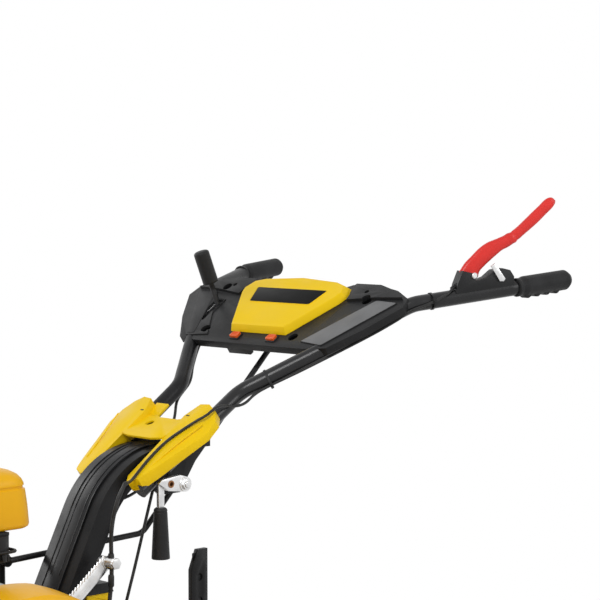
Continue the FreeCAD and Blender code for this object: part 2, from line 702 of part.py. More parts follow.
# ---------------------------------------------------------------- fenders and hoods
def build_fenders():
    """Crowned guard over each wheel, turned about the wheel's axis, on a post from the frame."""
    top_r = FENDER_CREST - WHEEL_R
    outer = [(FENDER_IN + across, top_r - drop) for across, drop in FENDER_CROWN]
    inner = [(x, r - FENDER_T) for x, r in outer[:-1]]
    inner.append((outer[-1][0] - FENDER_T, outer[-1][1]))
    ring = [Vector(x, 0, r) for x, r in outer + inner[::-1]]
    guard = Part.Face(Part.makePolygon(ring + ring[:1]))
    guard.rotate(Vector(0, 0, 0), Vector(1, 0, 0), -FENDER_START)
    guard = guard.revolve(Vector(0, 0, 0), Vector(1, 0, 0), FENDER_START - FENDER_END)
    guard.translate(Vector(0, 0, WHEEL_R))
    post_x, post_half = FENDER_IN + 20, 18
    under = FENDER_CREST - FENDER_CROWN[0][1] - FENDER_T
    post = block(post_x, post_x + 6, -post_half, post_half, ENGINE_BASE - 12, under - 1)
    foot = block(RAIL_X + RAIL_W / 2, post_x + 6, -post_half, post_half, ENGINE_BASE - 12, ENGINE_BASE - 4)
    tab = block(FENDER_IN + 1, post_x + 24, -post_half, post_half, under - 8, under + 4)
    hollow = rod((0, 0, WHEEL_R), (1, 0, 0), top_r - FENDER_CROWN[0][1] - FENDER_T + 1, FENDER_OUT)
    fender = fuse(guard, post, foot, tab.common(hollow))
    keep("fender_left", fender)
    keep("fender_right", mirrored(fender))


def build_tine_hood():
    outer_r = ROTOR_R + 26
    skin = 3.5
    half = ROTOR_HALF + 9
    drum = rod((-half, ROTOR_Y, ROTOR_Z), (1, 0, 0), outer_r, 2 * half)
    hollow = rod((-half + skin, ROTOR_Y, ROTOR_Z), (1, 0, 0), outer_r - skin, 2 * (half - skin))
    hood = drum.cut(hollow)
    floor_cut = block(-half - 1, half + 1, ROTOR_Y - outer_r - 1, ROTOR_Y + outer_r + 1,
                      ROTOR_Z - outer_r - 1, ROTOR_Z + 12)
    hood = hood.cut(floor_cut)
    throat = block(-DRIVE_HALF, DRIVE_HALF, ROTOR_Y - outer_r - 1, ROTOR_Y + DRIVE_HUB_R,
                   0, ROTOR_Z + ROTOR_R - 10)
    hood = hood.cut(throat)
    ledge = block(-CASE_HALF + 8, CASE_HALF - 8, CASE_TOP_REAR, ROTOR_Y - 30,
                  ROTOR_Z + outer_r - 10, ROTOR_Z + outer_r + 4)
    ledge = ledge.cut(rod((-half, ROTOR_Y, ROTOR_Z), (1, 0, 0), outer_r - skin, 2 * half))
    keep("tine_hood", fuse(hood, ledge))


def build_rear_cover():
    """Vented box behind the column foot, with its black lid."""
    half = COVER_HALF
    y0 = COL_FOOT_Y + 107
    y1 = y0 + COVER_L
    base = ARM_TOP
    shell = block(-half, half, y0, y1, base, COVER_TOP)
    slots = []
    for i in range(COVER_SLOTS):
        z = COVER_TOP - 22 - i * 20
        slots.append(block(-half - 1, half + 1, y0 + 10, y1 - 10, z, z + 8))
    shell = shell.cut(Part.makeCompound(slots))
    keep("rear_cover", shell)
    lid = front_plate([(-half - 3, COVER_TOP), (half + 3, COVER_TOP), (half - 8, COVER_TOP + 14),
                       (-half + 8, COVER_TOP + 14)], y0 - 2, y1 + 3)
    keep("rear_cover_lid", lid)


# ---------------------------------------------------------------- column and depth bar
def column_outline(offset):
    """Side outline of the column's front surface, moved in by `offset` along its normal."""
    lean = rad(COL_LEAN)
    radius = COL_BEND_R - offset
    foot = Vector(0, COL_FOOT_Y, CASE_TOP)
    up = Vector(0, math.cos(lean), math.sin(lean))
    side = Vector(0, math.sin(lean), -math.cos(lean))
    rise = COL_TOP - CASE_TOP - COL_BEND_R * (1 - math.cos(lean))
    run = rise / math.sin(lean)
    bend = foot + up * run + side * offset
    centre = foot + up * run + side * COL_BEND_R
    top = centre + Vector(0, 0, radius)
    mid_angle = (math.pi / 2 + (math.pi - (math.pi / 2 - lean))) / 2
    middle = centre + Vector(0, math.cos(mid_angle), math.sin(mid_angle)) * radius
    low = foot + Vector(0, offset / math.sin(lean), 0)
    return low, bend, middle, top


def column_slab(outer, inner, x0, x1, end):
    a = column_outline(outer)
    b = column_outline(inner)
    tail_a = Vector(0, end, a[3].z)
    tail_b = Vector(0, end, b[3].z)
    edges = [
        Part.LineSegment(a[0], a[1]).toShape(), Part.Arc(a[1], a[2], a[3]).toShape(),
        Part.LineSegment(a[3], tail_a).toShape(), Part.LineSegment(tail_a, tail_b).toShape(),
        Part.LineSegment(tail_b, b[3]).toShape(), Part.Arc(b[3], b[2], b[1]).toShape(),
        Part.LineSegment(b[1], b[0]).toShape(), Part.LineSegment(b[0], a[0]).toShape(),
    ]
    face = Part.Face(Part.Wire(edges))
    face.translate(Vector(x0, 0, 0))
    return face.extrude(Vector(x1 - x0, 0, 0))


def build_column():
    body = column_slab(BAND_H, COL_T, -COL_HALF, COL_HALF, COL_END)
    band = column_slab(0, BAND_H + 4, -BAND_HALF, BAND_HALF, COL_END)
    lug = side_plate([(TILT_Y - 24, COL_TOP - COL_T + 6), (TILT_Y + 24, COL_TOP - COL_T + 6),
                      (TILT_Y + 16, TILT_Z - 16), (TILT_Y - 16, TILT_Z - 16)], -30, 30)
    foot = block(-COL_HALF - 8, COL_HALF + 8, COL_FOOT_Y - 24, CASE_TOP_REAR, CASE_TOP, CASE_TOP + 12)
    column = fuse(body, band, lug, foot)
    column = column.cut(rod((-60, TILT_Y, TILT_Z), (1, 0, 0), TILT_BOLT_R + RUN_FIT, 120))
    keep("column", column)


def build_quadrant():
    """Toothed strap beside the column with the cable's end bolt at its top."""
    x0 = QUAD_X
    along = Vector(0, math.cos(rad(QUAD_SLOPE)), math.sin(rad(QUAD_SLOPE)))
    across = Vector(0, -along.z, along.y)
    top = Vector(0, QUAD_TOP[0], QUAD_TOP[1])
    low = top - along * QUAD_L
    points = []
    for i in range(int(QUAD_L / TOOTH)):
        a = low + along * (i * TOOTH) + across * (QUAD_W / 2)
        b = low + along * ((i + 0.75) * TOOTH) + across * (QUAD_W / 2 + TOOTH_H)
        points += [(a.y, a.z), (b.y, b.z)]
    for end, sign in ((top, 1), (top, -1), (low, -1)):
        p = end + across * (sign * QUAD_W / 2)
        points.append((p.y, p.z))
    strap = side_plate(points, x0, x0 + QUAD_T)
    bolt = rod((x0 - 10, top.y - 4, top.z - 2), (1, 0, 0), 9, CABLE_BOLT_X - x0 + 20)
    bolt = bolt.cut(rod((CABLE_BOLT_X, top.y - 4, top.z - 40), (0, 0, 1), CABLE_R + 1, 80))
    arm = block(CASE_HALF, x0, low.y + 2, low.y + 28, CASE_TOP - 44, CASE_TOP - 16)
    drop = block(x0, x0 + QUAD_T, low.y + 2, low.y + 28, CASE_TOP - 44, low.z + 10)
    keep("quadrant", fuse(strap, bolt, arm, drop))


def build_shift_post():
    x, y, z = ROD_START
    post = rod((POST_X, y, CASE_TOP - 20), (0, 0, 1), POST_R, z - CASE_TOP + 30)
    lug = block(POST_X - POST_R, -CASE_HALF, y - 14, y + 14, CASE_TOP - 34, CASE_TOP - 14)
    pin = rod((POST_X, y, z), (1, 0, 0), POST_PIN_R, x - POST_X + 6)
    keep("shift_post", fuse(post, lug, pin))


def build_depth_bar():
    half = BAR_W / 2
    outline = [(BAR_Y - half, 0), (BAR_Y + half, 0), (BAR_Y + half, BAR_TOP),
               (BAR_Y - half + 14, BAR_TOP), (BAR_Y - half, BAR_TOP - 34)]
    bar = side_plate(outline, -BAR_T / 2, BAR_T / 2)
    holes = []
    z = BAR_TOP - 48
    while z > 60:
        holes.append(rod((-BAR_T, BAR_Y, z), (1, 0, 0), BAR_HOLE_R, 2 * BAR_T))
        z -= BAR_PITCH
    bar = bar.cut(Part.makeCompound(holes))
    shoe = block(-24, 24, BAR_Y - half - 18, BAR_Y + half + 18, 0, 7)
    keep("depth_bar", fuse(bar, shoe))


def build_depth_bracket():
    half_y = BAR_W / 2 + BAR_FIT
    half_x = BAR_T / 2 + BAR_FIT
    z0, z1 = SOCKET_Z, SOCKET_Z + SOCKET_H
    outer = block(-half_x - SOCKET_T, half_x + SOCKET_T,
                  BAR_Y - half_y - SOCKET_T, BAR_Y + half_y + SOCKET_T, z0, z1)
    hollow = block(-half_x, half_x, BAR_Y - half_y, BAR_Y + half_y, z0 - 1, z1 + 1)
    arm = block(-half_x - SOCKET_T, half_x + SOCKET_T, CASE_TOP_REAR, BAR_Y - half_y - SOCKET_T,
                ARM_TOP - ARM_H, ARM_TOP)
    back = BAR_Y + half_y + SOCKET_T
    tail = block(-30, 30, back, back + 52, z0 + 20, z0 + 20 + HITCH_T)
    tail = tail.cut(rod((0, back + 28, z0), (0, 0, 1), HITCH_R, 80))
    bracket = fuse(outer.cut(hollow), arm, tail)
    keep("depth_bracket", bracket)


# ---------------------------------------------------------------- handlebar
def build_grip(end, heading):
    """Hand grip with a collar, a neck and knuckle rests underneath."""
    start = end - heading * (GRIP_L - GRIP_OVER)
    collar = Part.makeCylinder(GRIP_COLLAR, 6, start, heading)
    neck = Part.makeCylinder(GRIP_COLLAR - 1, 6, start + heading * 5, heading)
    flare = Part.makeCone(GRIP_COLLAR - 1, GRIP_R, 10, start + heading * 10, heading)
    body = Part.makeCylinder(GRIP_R, GRIP_L - 28, start + heading * 19, heading)
    dome = Part.makeCone(GRIP_R, GRIP_R - 6, 9, end + heading * (GRIP_OVER - 9), heading)
    across = heading.cross(Vector(0, 0, 1)).normalize()
    rests = []
    for i in range(GRIP_KNUCKLES):
        along = start + heading * (24 + i * 22) + Vector(0, 0, -GRIP_R + 6) - across * 8
        rests.append(Part.makeCylinder(9, 16, along, across))
    return fuse(collar, neck, flare, body, dome, *rests)


def build_tubes():
    left = pipe(TUBE_POINTS, [TUBE_BEND, TUBE_BEND, TUBE_BEND * 2], TUBE_R)
    end = Vector(*TUBE_POINTS[-1])
    heading = (end - Vector(*TUBE_POINTS[-2])).normalize()
    grip = build_grip(end, heading).cut(left)
    keep("handle_tube_left", left)
    keep("handle_tube_right", mirrored(left))
    keep("grip_left", grip)
    keep("grip_right", mirrored(grip))
    return left


def build_handle_head(tube):
    """Side plates between the tilt bolt and the tubes, tied by a cross tube."""
    plates = []
    outline = [(TILT_Y - 22, TILT_Z - 20), (TILT_Y + 22, TILT_Z - 20), (TILT_Y + 94, TILT_Z + 84),
               (TILT_Y + 77, TILT_Z + 90), (TILT_Y - 49, TILT_Z + 30), (TILT_Y - 60, TILT_Z + 12)]
    for side in (1, -1):
        x = side * HEAD_IN
        plates.append(side_plate(outline, min(x, x + side * HEAD_T), max(x, x + side * HEAD_T)))
    bolt_end = HEAD_IN + HEAD_T + 2 * TUBE_R + CLAMP_T + 3
    bolt = rod((-bolt_end, TILT_Y, TILT_Z), (1, 0, 0), TILT_BOLT_R, 2 * bolt_end)
    cross = rod((-HEAD_IN, TILT_Y + 74, TILT_Z + 76), (1, 0, 0), 9, 2 * HEAD_IN)
    saddles = []
    for side in (1, -1):
        x0, x1 = sorted((side * (HEAD_IN + HEAD_T), side * (TUBE_POINTS[0][0] + 4)))
        saddles.append(block(x0, x1, TILT_Y - 40, TILT_Y - 10, TILT_Z + 4, TILT_Z + 26))
        saddles.append(block(x0, x1, TILT_Y + 42, TILT_Y + 74, TILT_Z + 54, TILT_Z + 76))
    head = fuse(plates[0], plates[1], bolt, cross, *saddles)
    head = head.cut(tube).cut(mirrored(tube))
    keep("handle_head", head)


def leaf_block(outline, low, high):
    """Leaf-shaped block whose top folds down towards its outer edge."""
    body = flat_plate(outline, low, high)
    reach = 2 * LEAF_FOLD_X
    fall = math.tan(rad(LEAF_FALL)) * (reach - LEAF_FOLD_X)
    profile = [(LEAF_FOLD_X, high), (reach, high - fall), (reach, high + fall), (LEAF_FOLD_X, high + fall)]
    wedge = front_plate(profile, -reach, reach)
    return body.cut(wedge)


def shrunk(outline, wall):
    """The same outline drawn in by a wall thickness."""
    wire = Part.makePolygon([Vector(x, y, 0) for x, y in outline + outline[:1]])
    inner = wire.makeOffset2D(-wall, 2)
    return [(v.X, v.Y) for v in inner.OrderedVertexes]


def build_wing_cover(tube):
    """Two leaf-shaped shells over the handlebar head, joined by a lower deck with a notch behind."""
    leaf = leaf_block(LEAF, -LEAF_H, 0)
    leaf = leaf.cut(leaf_block(shrunk(LEAF, LEAF_SKIN), -LEAF_H - 1, -LEAF_SKIN))
    arm = [(34, 60), (52, 60), (66, 94), (66, 104), (36, 104)]
    leaf = fuse(leaf, flat_plate(arm, -LEAF_H + 2, -LEAF_H + 6))
    leaf = sloped(leaf, WING_Y, WING_Z, LEAF_SLOPE)
    plan = [(-52, 6), (-30, 0), (30, 0), (52, 6), (52, DECK_L - 4), (36, DECK_L), (22, DECK_L - 6),
            (-22, DECK_L - 6), (-36, DECK_L), (-52, DECK_L - 4)]
    deck = flat_plate(plan, -DECK_T, 0)
    deck = deck.cut(rod((-25, 48, -DECK_T - 1), (0, 0, 1), DECK_HOLE_R, DECK_T + 2))
    deck = sloped(deck, DECK_FRONT[0], DECK_FRONT[1], DECK_SLOPE)
    cover = fuse(leaf, mirrored(leaf), deck)
    keep("wing_cover", cover.cut(tube).cut(mirrored(tube)).cut(parts["handle_head"]))


def both_sides(half):
    return half + [(-x, y) for x, y in reversed(half) if x > 0]


def ring_at(outline, height):
    return Part.makePolygon([Vector(x, y, height) for x, y in outline + outline[:1]])


def on_console(shape):
    return sloped(shape, CONSOLE_Y, CONSOLE_Z, CONSOLE_SLOPE)


def build_tray(tube):
    """Tray open underneath, with raised humps behind, pads along its sides and the gear gate."""
    outline = both_sides(TRAY)
    tray = flat_plate(outline, -TRAY_T, 0)
    tray = tray.cut(flat_plate(shrunk(outline, TRAY_SKIN), -TRAY_T - 1, -TRAY_SKIN))
    raised = [flat_plate(HUMP, -TRAY_SKIN, HUMP_H), flat_plate(PAD, -TRAY_SKIN, PAD_RISE)]
    rim = flat_plate([(-62, -22), (-6, -22), (-6, -14), (-62, -14)], -TRAY_T - 10, -TRAY_T + 1)
    tray = fuse(tray, rim, *raised, *[mirrored(piece) for piece in raised])
    x0, x1, y0, y1 = GATE
    tray = tray.cut(block(x0, x1, y0, y1, -TRAY_T - 1, HUMP_H + 1))
    for x, y in ((134, 4), (168, 134), (-134, 4), (-168, 134)):
        tray = tray.cut(rod((x, y, -TRAY_T - 1), (0, 0, 1), 4.5, TRAY_T + HUMP_H + 2))
    tray = on_console(tray)
    return tray.cut(tube).cut(mirrored(tube))


def build_console(tube):
    tray = build_tray(tube)
    keep("console_tray", tray)
    rings = [ring_at(both_sides(COVER_FOOT), 0.0), ring_at(both_sides(COVER_CROWN), COVER_H)]
    cover = Part.makeLoft(rings, True, True)
    keep("console_cover", on_console(cover))

    lamps = []
    for x in (LAMP_X, -LAMP_X):
        lens = block(x - LAMP_HALF, x + LAMP_HALF, -12, 5, 0, 9)
        lamps.append(on_console(lens.cut(cover)))
    keep("console_lamps", Part.makeCompound(lamps))

    bracket = on_console(block(-220, 220, 40, 66, -TRAY_T - 8, -TRAY_T))
    x, y, z = ROD_TOP
    arm = block(x - 6, x + 6, y - 8, y + 10, z + ROD_R + GAP, z + 60)
    bracket = fuse(bracket, arm).cut(tube).cut(mirrored(tube)).cut(tray)
    keep("console_bracket", max(bracket.Solids, key=lambda solid: solid.Volume))


def build_gear_lever():
    foot = Vector(-172, 735, 944)
    tip = Vector(-182, 703, 1040)
    way = (tip - foot).normalize()
    lever = Part.makeCylinder(5, 60, foot - way * 2, way)
    keep("gear_lever", lever)
    knob = Part.makeCylinder(12, 62, foot + way * 44, way)
    knob = knob.makeFillet(5, [knob.Edges[0]])
    keep("gear_knob", knob.cut(lever))


def build_clutch_lever(tube):
    """Hand lever over the left grip, with its bracket and lock tab on the tube."""
    pivot = Vector(*LEVER_PIVOT)
    side = (Vector(*TUBE_POINTS[3]) - Vector(*TUBE_POINTS[2])).normalize()
    across = side.cross(Vector(0, 0, 1)).normalize()
    up = across.cross(side)

    def place(points, half, off=0.0):
        ring = [pivot + side * a + up * b + across * (off - half) for a, b in points]
        face = Part.Face(Part.makePolygon(ring + ring[:1]))
        return face.extrude(across * 2 * half)

    lever = place(LEVER_UPPER + LEVER_LOWER, LEVER_HALF)
    ridge = place([(78, 72), (90, 77), (97, 62), (85, 50)], LEVER_HALF + 2)
    lever = fuse(lever, ridge)
    keep("clutch_lever", lever)
    bracket = place([(-41, -17), (-36, -4), (-24, 17), (-5, 10), (-2, -4), (19, 0), (35, 10),
                     (50, 11), (63, 6), (69, -6), (67, -20), (40, -30), (-36, -30)], 13)
    keep("clutch_bracket", bracket.cut(lever).cut(tube))
    tab = place([(27, 18), (35, 22), (51, -7), (47, -11), (40, -10)], 2.0, 15.2)
    keep("lock_tab", tab.cut(tube))


def build_clamp():
    """Clamp on the end of the tilt bolt: cast arm with an eye, its drop lever and tapered hand grip."""
    x0 = HEAD_IN + HEAD_T + 2 * TUBE_R + 1
    x1 = x0 + CLAMP_T
    outline = [(-56, 6), (-48, 12), (-10, 16), (4, 12), (-4, -12), (-34, -8)]
    arm = side_plate([(TILT_Y + y, TILT_Z + z) for y, z in outline], x0, x1)
    eye = rod((x0, TILT_Y, TILT_Z), (1, 0, 0), CLAMP_EYE_R, CLAMP_T + 2)
    window = rod((x0 - 1, TILT_Y - 30, TILT_Z + 3), (1, 0, 0), 6, CLAMP_T + 2)
    body = fuse(arm, eye).cut(window)
    body = body.cut(rod((0, TILT_Y, TILT_Z), (1, 0, 0), TILT_BOLT_R, 2 * x1))
    keep("clamp_casting", body)
    lever_y = TILT_Y - 48
    lever = block(x0 + 1, x0 + 7, lever_y - 6, lever_y + 6, TILT_Z - 48, TILT_Z + 4).cut(body)
    keep("clamp_lever", lever)
    foot = Vector(x0 + 4, lever_y, TILT_Z - 40 - CLAMP_GRIP_L)
    grip = Part.makeCone(CLAMP_GRIP_R, CLAMP_GRIP_R - 4, CLAMP_GRIP_L, foot, Vector(0, 0, 1))
    keep("clamp_grip", grip.cut(lever))


# ---------------------------------------------------------------- rod and cables
def build_rod():
    x, y, z = ROD_START
    shaft = pipe([ROD_START, ROD_BEND, ROD_TOP], 24, ROD_R)
    eye = rod((x - 4, y, z), (1, 0, 0), POST_PIN_R + 5, 8)
    hole = rod((x - 20, y, z), (1, 0, 0), POST_PIN_R + RUN_FIT, 40)
    keep("shift_rod", fuse(shaft, eye).cut(hole))


def by_tube(leg, share, turn, radius, side):
    """Centre of a cable that lies against a handlebar tube."""
    low, high = Vector(*TUBE_POINTS[leg]), Vector(*TUBE_POINTS[leg + 1])
    along = (high - low).normalize()
    down = (Vector(0, 0, -1) + along * along.z).normalize()
    out = down.cross(along)
    reach = TUBE_R + radius + CABLE_TUBE_GAP
    spot = low + (high - low) * share + (down * math.cos(rad(turn)) + out * math.sin(rad(turn))) * reach
    return (side * spot.x, spot.y, spot.z)


def build_cables():
    leads = {
        "clutch_cable": [CLUTCH_START] + [by_tube(*row, CABLE_R, 1) for row in CLUTCH_ON_TUBE],
        "throttle_cable": [by_tube(*row, THIN_CABLE_R, -1) for row in THROTTLE_ON_TUBE],
    }
    for name, rest, radius in CABLE_RUNS:
        route = leads.get(name, []) + rest
        keep(name, pipe(route, cable_bends(route), radius))


# ---------------------------------------------------------------- assembly
def main():
    build_wheels()
    build_rotor()
    build_gear_case()
    build_clutch_housing()
    build_frame()
    build_bumper()
    build_engine()
    build_fenders()
    build_tine_hood()
    build_rear_cover()
    build_column()
    build_quadrant()
    build_shift_post()
    build_depth_bracket()
    build_depth_bar()
    tube = build_tubes()
    build_handle_head(tube)
    build_wing_cover(tube)
    build_console(tube)
    build_gear_lever()
    build_clutch_lever(tube)
    build_clamp()
    build_rod()
    build_cables()

    os.makedirs("parts", exist_ok=True)
    for name, shape in parts.items():
        placed = shape.copy()
        placed.translate(Vector(0, CENTRE_SHIFT, 0))
        placed.exportStep("parts/" + name + ".step")
        print(name, len(placed.Solids), round(placed.Volume / 1000, 1), placed.isValid())
    print("shift", CENTRE_SHIFT)


main()
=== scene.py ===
"""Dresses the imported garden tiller: finishes, softened edges, fittings and the studio around it."""
import json
from math import atan2, copysign, cos, degrees, exp, hypot, pi, radians, sin
import bmesh
import bpy
from mathutils import Matrix, Vector


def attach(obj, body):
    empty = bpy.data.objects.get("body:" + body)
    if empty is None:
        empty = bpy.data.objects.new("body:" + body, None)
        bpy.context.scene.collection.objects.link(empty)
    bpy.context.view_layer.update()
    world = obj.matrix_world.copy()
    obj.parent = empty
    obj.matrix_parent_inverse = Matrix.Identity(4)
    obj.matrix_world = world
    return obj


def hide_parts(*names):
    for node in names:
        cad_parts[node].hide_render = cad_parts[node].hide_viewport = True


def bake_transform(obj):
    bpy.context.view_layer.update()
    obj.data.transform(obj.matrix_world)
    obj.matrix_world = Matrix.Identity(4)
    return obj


bl_info = {
    "name": "Garden Tiller Dresser",
    "version": (1, 0, 0),
    "blender": (4, 5, 0),
    "location": "3D View > Sidebar > Tiller",
    "description": "Finishes and fittings for a walk-behind garden tiller",
    "category": "Object",
}

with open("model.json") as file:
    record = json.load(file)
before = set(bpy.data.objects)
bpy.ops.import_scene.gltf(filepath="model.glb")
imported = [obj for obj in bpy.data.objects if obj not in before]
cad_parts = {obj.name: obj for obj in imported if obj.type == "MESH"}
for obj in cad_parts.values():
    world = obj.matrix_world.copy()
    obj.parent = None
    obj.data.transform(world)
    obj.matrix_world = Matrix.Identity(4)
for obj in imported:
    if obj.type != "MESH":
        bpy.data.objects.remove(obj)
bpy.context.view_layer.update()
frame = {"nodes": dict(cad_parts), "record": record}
BODIES = frame["record"]["behaviour"]["bodies"]
BODY_OF = {node: body for body, nodes in BODIES.items() for node in nodes}
MM = 0.001
AXLE_Y = -336.75                    # drive axle along the machine, from the middle of the outline
WHEEL_R = 255.0                     # also the height of the drive axle
ROTOR_Y, ROTOR_Z = 335.0, 163.0     # middle of the tine rotor
TILT_Y, TILT_Z = 421.0, 676.0       # the handlebar's clamp bolt
SIDES = NEAR, FAR = 1, -1           # operator's left and right
LEFTWARD, RIGHTWARD = (1, 0, 0), (-1, 0, 0)
FORWARD, BACKWARD = (0, -1, 0), (0, 1, 0)
UP, DOWN = (0, 0, 1), (0, 0, -1)


# ------------------------------------------------------------------ settings
def colour_property(name, description, value):
    return bpy.props.FloatVectorProperty(
        name=name, description=description, subtype="COLOR", size=4, min=0.0, max=1.0, default=(*value, 1.0))


def length_property(name, description, value):
    return bpy.props.FloatProperty(
        name=name, description=description, subtype="DISTANCE", unit="LENGTH", default=value, min=0.0)


def level_property(name, description, value):
    return bpy.props.FloatProperty(name=name, description=description, default=value, min=0.0)


class TillerColours(bpy.types.PropertyGroup):
    """Paints and plastics."""
    # the panel yellow is the sheet paint deepened towards orange as painted shade, for the mostly shaded
    # sides of the tank, fenders and hood
    panel_yellow_with_painted_shade: colour_property("Panel yellow", "Painted sheet of the tank, fenders and hood",
                                  (0.85, 0.445, 0.003))
    cover_yellow: colour_property("Cover yellow", "Moulded covers", (0.90, 0.60, 0.003))
    frame_black: colour_property("Frame black", "Column, tubes and brackets", (0.011, 0.0112, 0.012))
    moulding_black: colour_property("Moulding black", "Console tray and trims", (0.014, 0.0143, 0.015))
    pad_grey: colour_property("Pad grey", "Inlays of the console", (0.150, 0.152, 0.155))
    lever_red: colour_property("Lever red", "Clutch lever", (0.74, 0.035, 0.028))
    lamp_orange: colour_property("Lamp orange", "Console lamps", (0.85, 0.13, 0.02))
    rim_white: colour_property("Rim white", "Wheel rims", (0.80, 0.80, 0.78))


class TillerFittings(bpy.types.PropertyGroup):
    """Sizes of bolts, screws, welds and tyre hairs."""
    bolt_radius: length_property("Bolt radius", "Across the corners of an M8 head, halved", 0.0075)
    bolt_height: length_property("Bolt height", "Height of an M8 head", 0.0053)
    screw_radius: length_property("Screw radius", "Round head of a cover screw", 0.0052)
    weld_radius: length_property("Weld radius", "Half width of a weld bead", 0.0032)
    hair_length: length_property("Hair length", "Moulding hairs left on new tyres", 0.007)


class TillerStage(bpy.types.PropertyGroup):
    """Studio sizes."""
    floor_size: length_property("Floor size", "Side of the studio floor", 16.0)
    key_power: level_property("Key power", "Power of the main lamp", 74.0)
    fill_power: level_property("Fill power", "Power of the side lamps", 24.0)
    sky_level: level_property("Sky level", "Strength of the plain sky light", 0.44)


# ------------------------------------------------------------------ places, in millimetres
def at(x, y, z):
    """A point measured from the drive axle, in this frame."""
    return Vector((x * MM, (y + AXLE_Y) * MM, z * MM))


def standing(origin, slope=0.0):
    """Axes at a point, tipped back about X by a slope in degrees."""
    return Matrix.Translation(at(*origin)) @ Matrix.Rotation(radians(slope), 4, "X") @ Matrix.Scale(MM, 4)


def facing(origin, way):
    """Axes at a point with Z along a direction and Y as near upright as that allows."""
    z = Vector(way).normalized()
    x = Vector(UP).cross(z)
    if x.length < 1e-4:
        x = Vector((1, 0, 0))
    x.normalize()
    turn = Matrix((x, z.cross(x), z)).transposed().to_4x4()
    return Matrix.Translation(at(*origin)) @ turn @ Matrix.Scale(MM, 4)


def in_mm(place, points):
    """Points given on a place's own axes, measured from the drive axle."""
    spots = [place @ Vector(point) for point in points]
    return [(spot.x / MM, spot.y / MM - AXLE_Y, spot.z / MM) for spot in spots]


GROUND = standing((0, 0, 0))
CONSOLE = standing((0, 667, 900), 34.6)
LEAF = standing((0, 404, 743.5), 35.8)
TUBE = [Vector(point) for point in (            # middle line of the near handlebar tube
    (70.0, 345.0, 670.0), (77.0, 560.0, 816.0), (264.0, 786.0, 963.0), (351.0, 963.0, 989.0),
    (366.8, 1070.0, 998.6))]
TUBE_R = 13.5
LEVER_PIVOT = Vector((313.0, 888.0, 1005.0))
CLUTCH_WAY = (TUBE[3] - TUBE[2]).normalized()
CLUTCH_ACROSS = CLUTCH_WAY.cross(Vector(UP)).normalized()
CLUTCH_UP = CLUTCH_ACROSS.cross(CLUTCH_WAY)


def by_lever(along, above, off=0.0):
    """A point on the clutch lever's own axes."""
    return LEVER_PIVOT + CLUTCH_WAY * along + CLUTCH_UP * above + CLUTCH_ACROSS * off


# ------------------------------------------------------------------ outlines and ways
def circle(steps):
    """Angles spread evenly round a full turn."""
    return [2 * pi * i / steps for i in range(steps)]


def arc(middle, radius, turns):
    """Points on a flat circle at the given turns."""
    return [(middle[0] + radius * cos(a), middle[1] + radius * sin(a)) for a in turns]


def disc(radius, low, high):
    """Profile of a solid disc, for turning."""
    return [(0, low), (radius, low), (radius, high), (0, high)]


def wall(inner, outer, low, high):
    """Profile of a ring, for turning."""
    return [(inner, low), (outer, low), (outer, high), (inner, high)]


def rect(x0, y0, x1, y1):
    return [(x0, y0), (x1, y0), (x1, y1), (x0, y1)]


def rounded(outline, radius, steps=4):
    """Corners of a flat outline cut to short arcs."""
    result = []
    count = len(outline)
    for i, corner in enumerate(outline):
        corner = Vector(corner)
        before = Vector(outline[i - 1]) - corner
        after = Vector(outline[(i + 1) % count]) - corner
        reach = min(radius, before.length * 0.45, after.length * 0.45)
        a = corner + before.normalized() * reach
        b = corner + after.normalized() * reach
        for k in range(steps + 1):
            t = k / steps
            result.append(tuple(a * (1 - t) ** 2 + corner * 2 * t * (1 - t) + b * t ** 2))
    return result


def drawn_in(outline, by):
    """The same outline moved towards its middle by a margin."""
    middle = sum((Vector(p) for p in outline), Vector((0, 0))) / len(outline)
    return [tuple(Vector(p) + (middle - Vector(p)).normalized() * by) for p in outline]


def smooth_way(points, count):
    """Points spread evenly along a soft curve through the given ones."""
    pts = [Vector(p) for p in points]
    pts = [pts[0] * 2 - pts[1]] + pts + [pts[-1] * 2 - pts[-2]]
    spans = len(pts) - 3
    way = []
    for i in range(count):
        t = spans * i / (count - 1)
        k = min(int(t), spans - 1)
        t -= k
        a, b, c, d = pts[k:k + 4]
        way.append(0.5 * ((2 * b) + (c - a) * t + (2 * a - 5 * b + 4 * c - d) * t ** 2
                          + (3 * b - a - 3 * c + d) * t ** 3))
    return way


def even_way(points, count):
    """Points a steady distance apart along a soft curve."""
    dense = smooth_way(points, 400)
    reach = [0.0]
    for a, b in zip(dense, dense[1:]):
        reach.append(reach[-1] + (b - a).length)
    way, k = [], 0
    for i in range(count):
        goal = reach[-1] * i / (count - 1)
        while k < len(dense) - 2 and reach[k + 1] < goal:
            k += 1
        way.append(dense[k].lerp(dense[k + 1], (goal - reach[k]) / (reach[k + 1] - reach[k])))
    return way


# ------------------------------------------------------------------ shapes
def skin(bm, rings):
    """Faces over a run of equal rings of points, closed at both ends."""
    rings = [[bm.verts.new(point) for point in ring] for ring in rings]
    bm.faces.new(rings[0][::-1])
    bm.faces.new(rings[-1])
    count = len(rings[0])
    for lower, upper in zip(rings, rings[1:]):
        for a in range(count):
            b = (a + 1) % count
            bm.faces.new((lower[a], lower[b], upper[b], upper[a]))


def slab(bm, outline, low, high, place):
    """Closed outline raised from one height to another."""
    skin(bm, [[place @ Vector((x, y, z)) for x, y in outline] for z in (low, high)])


def box(bm, low, high, place=GROUND):
    slab(bm, rect(*low[:2], *high[:2]), low[2], high[2], place)


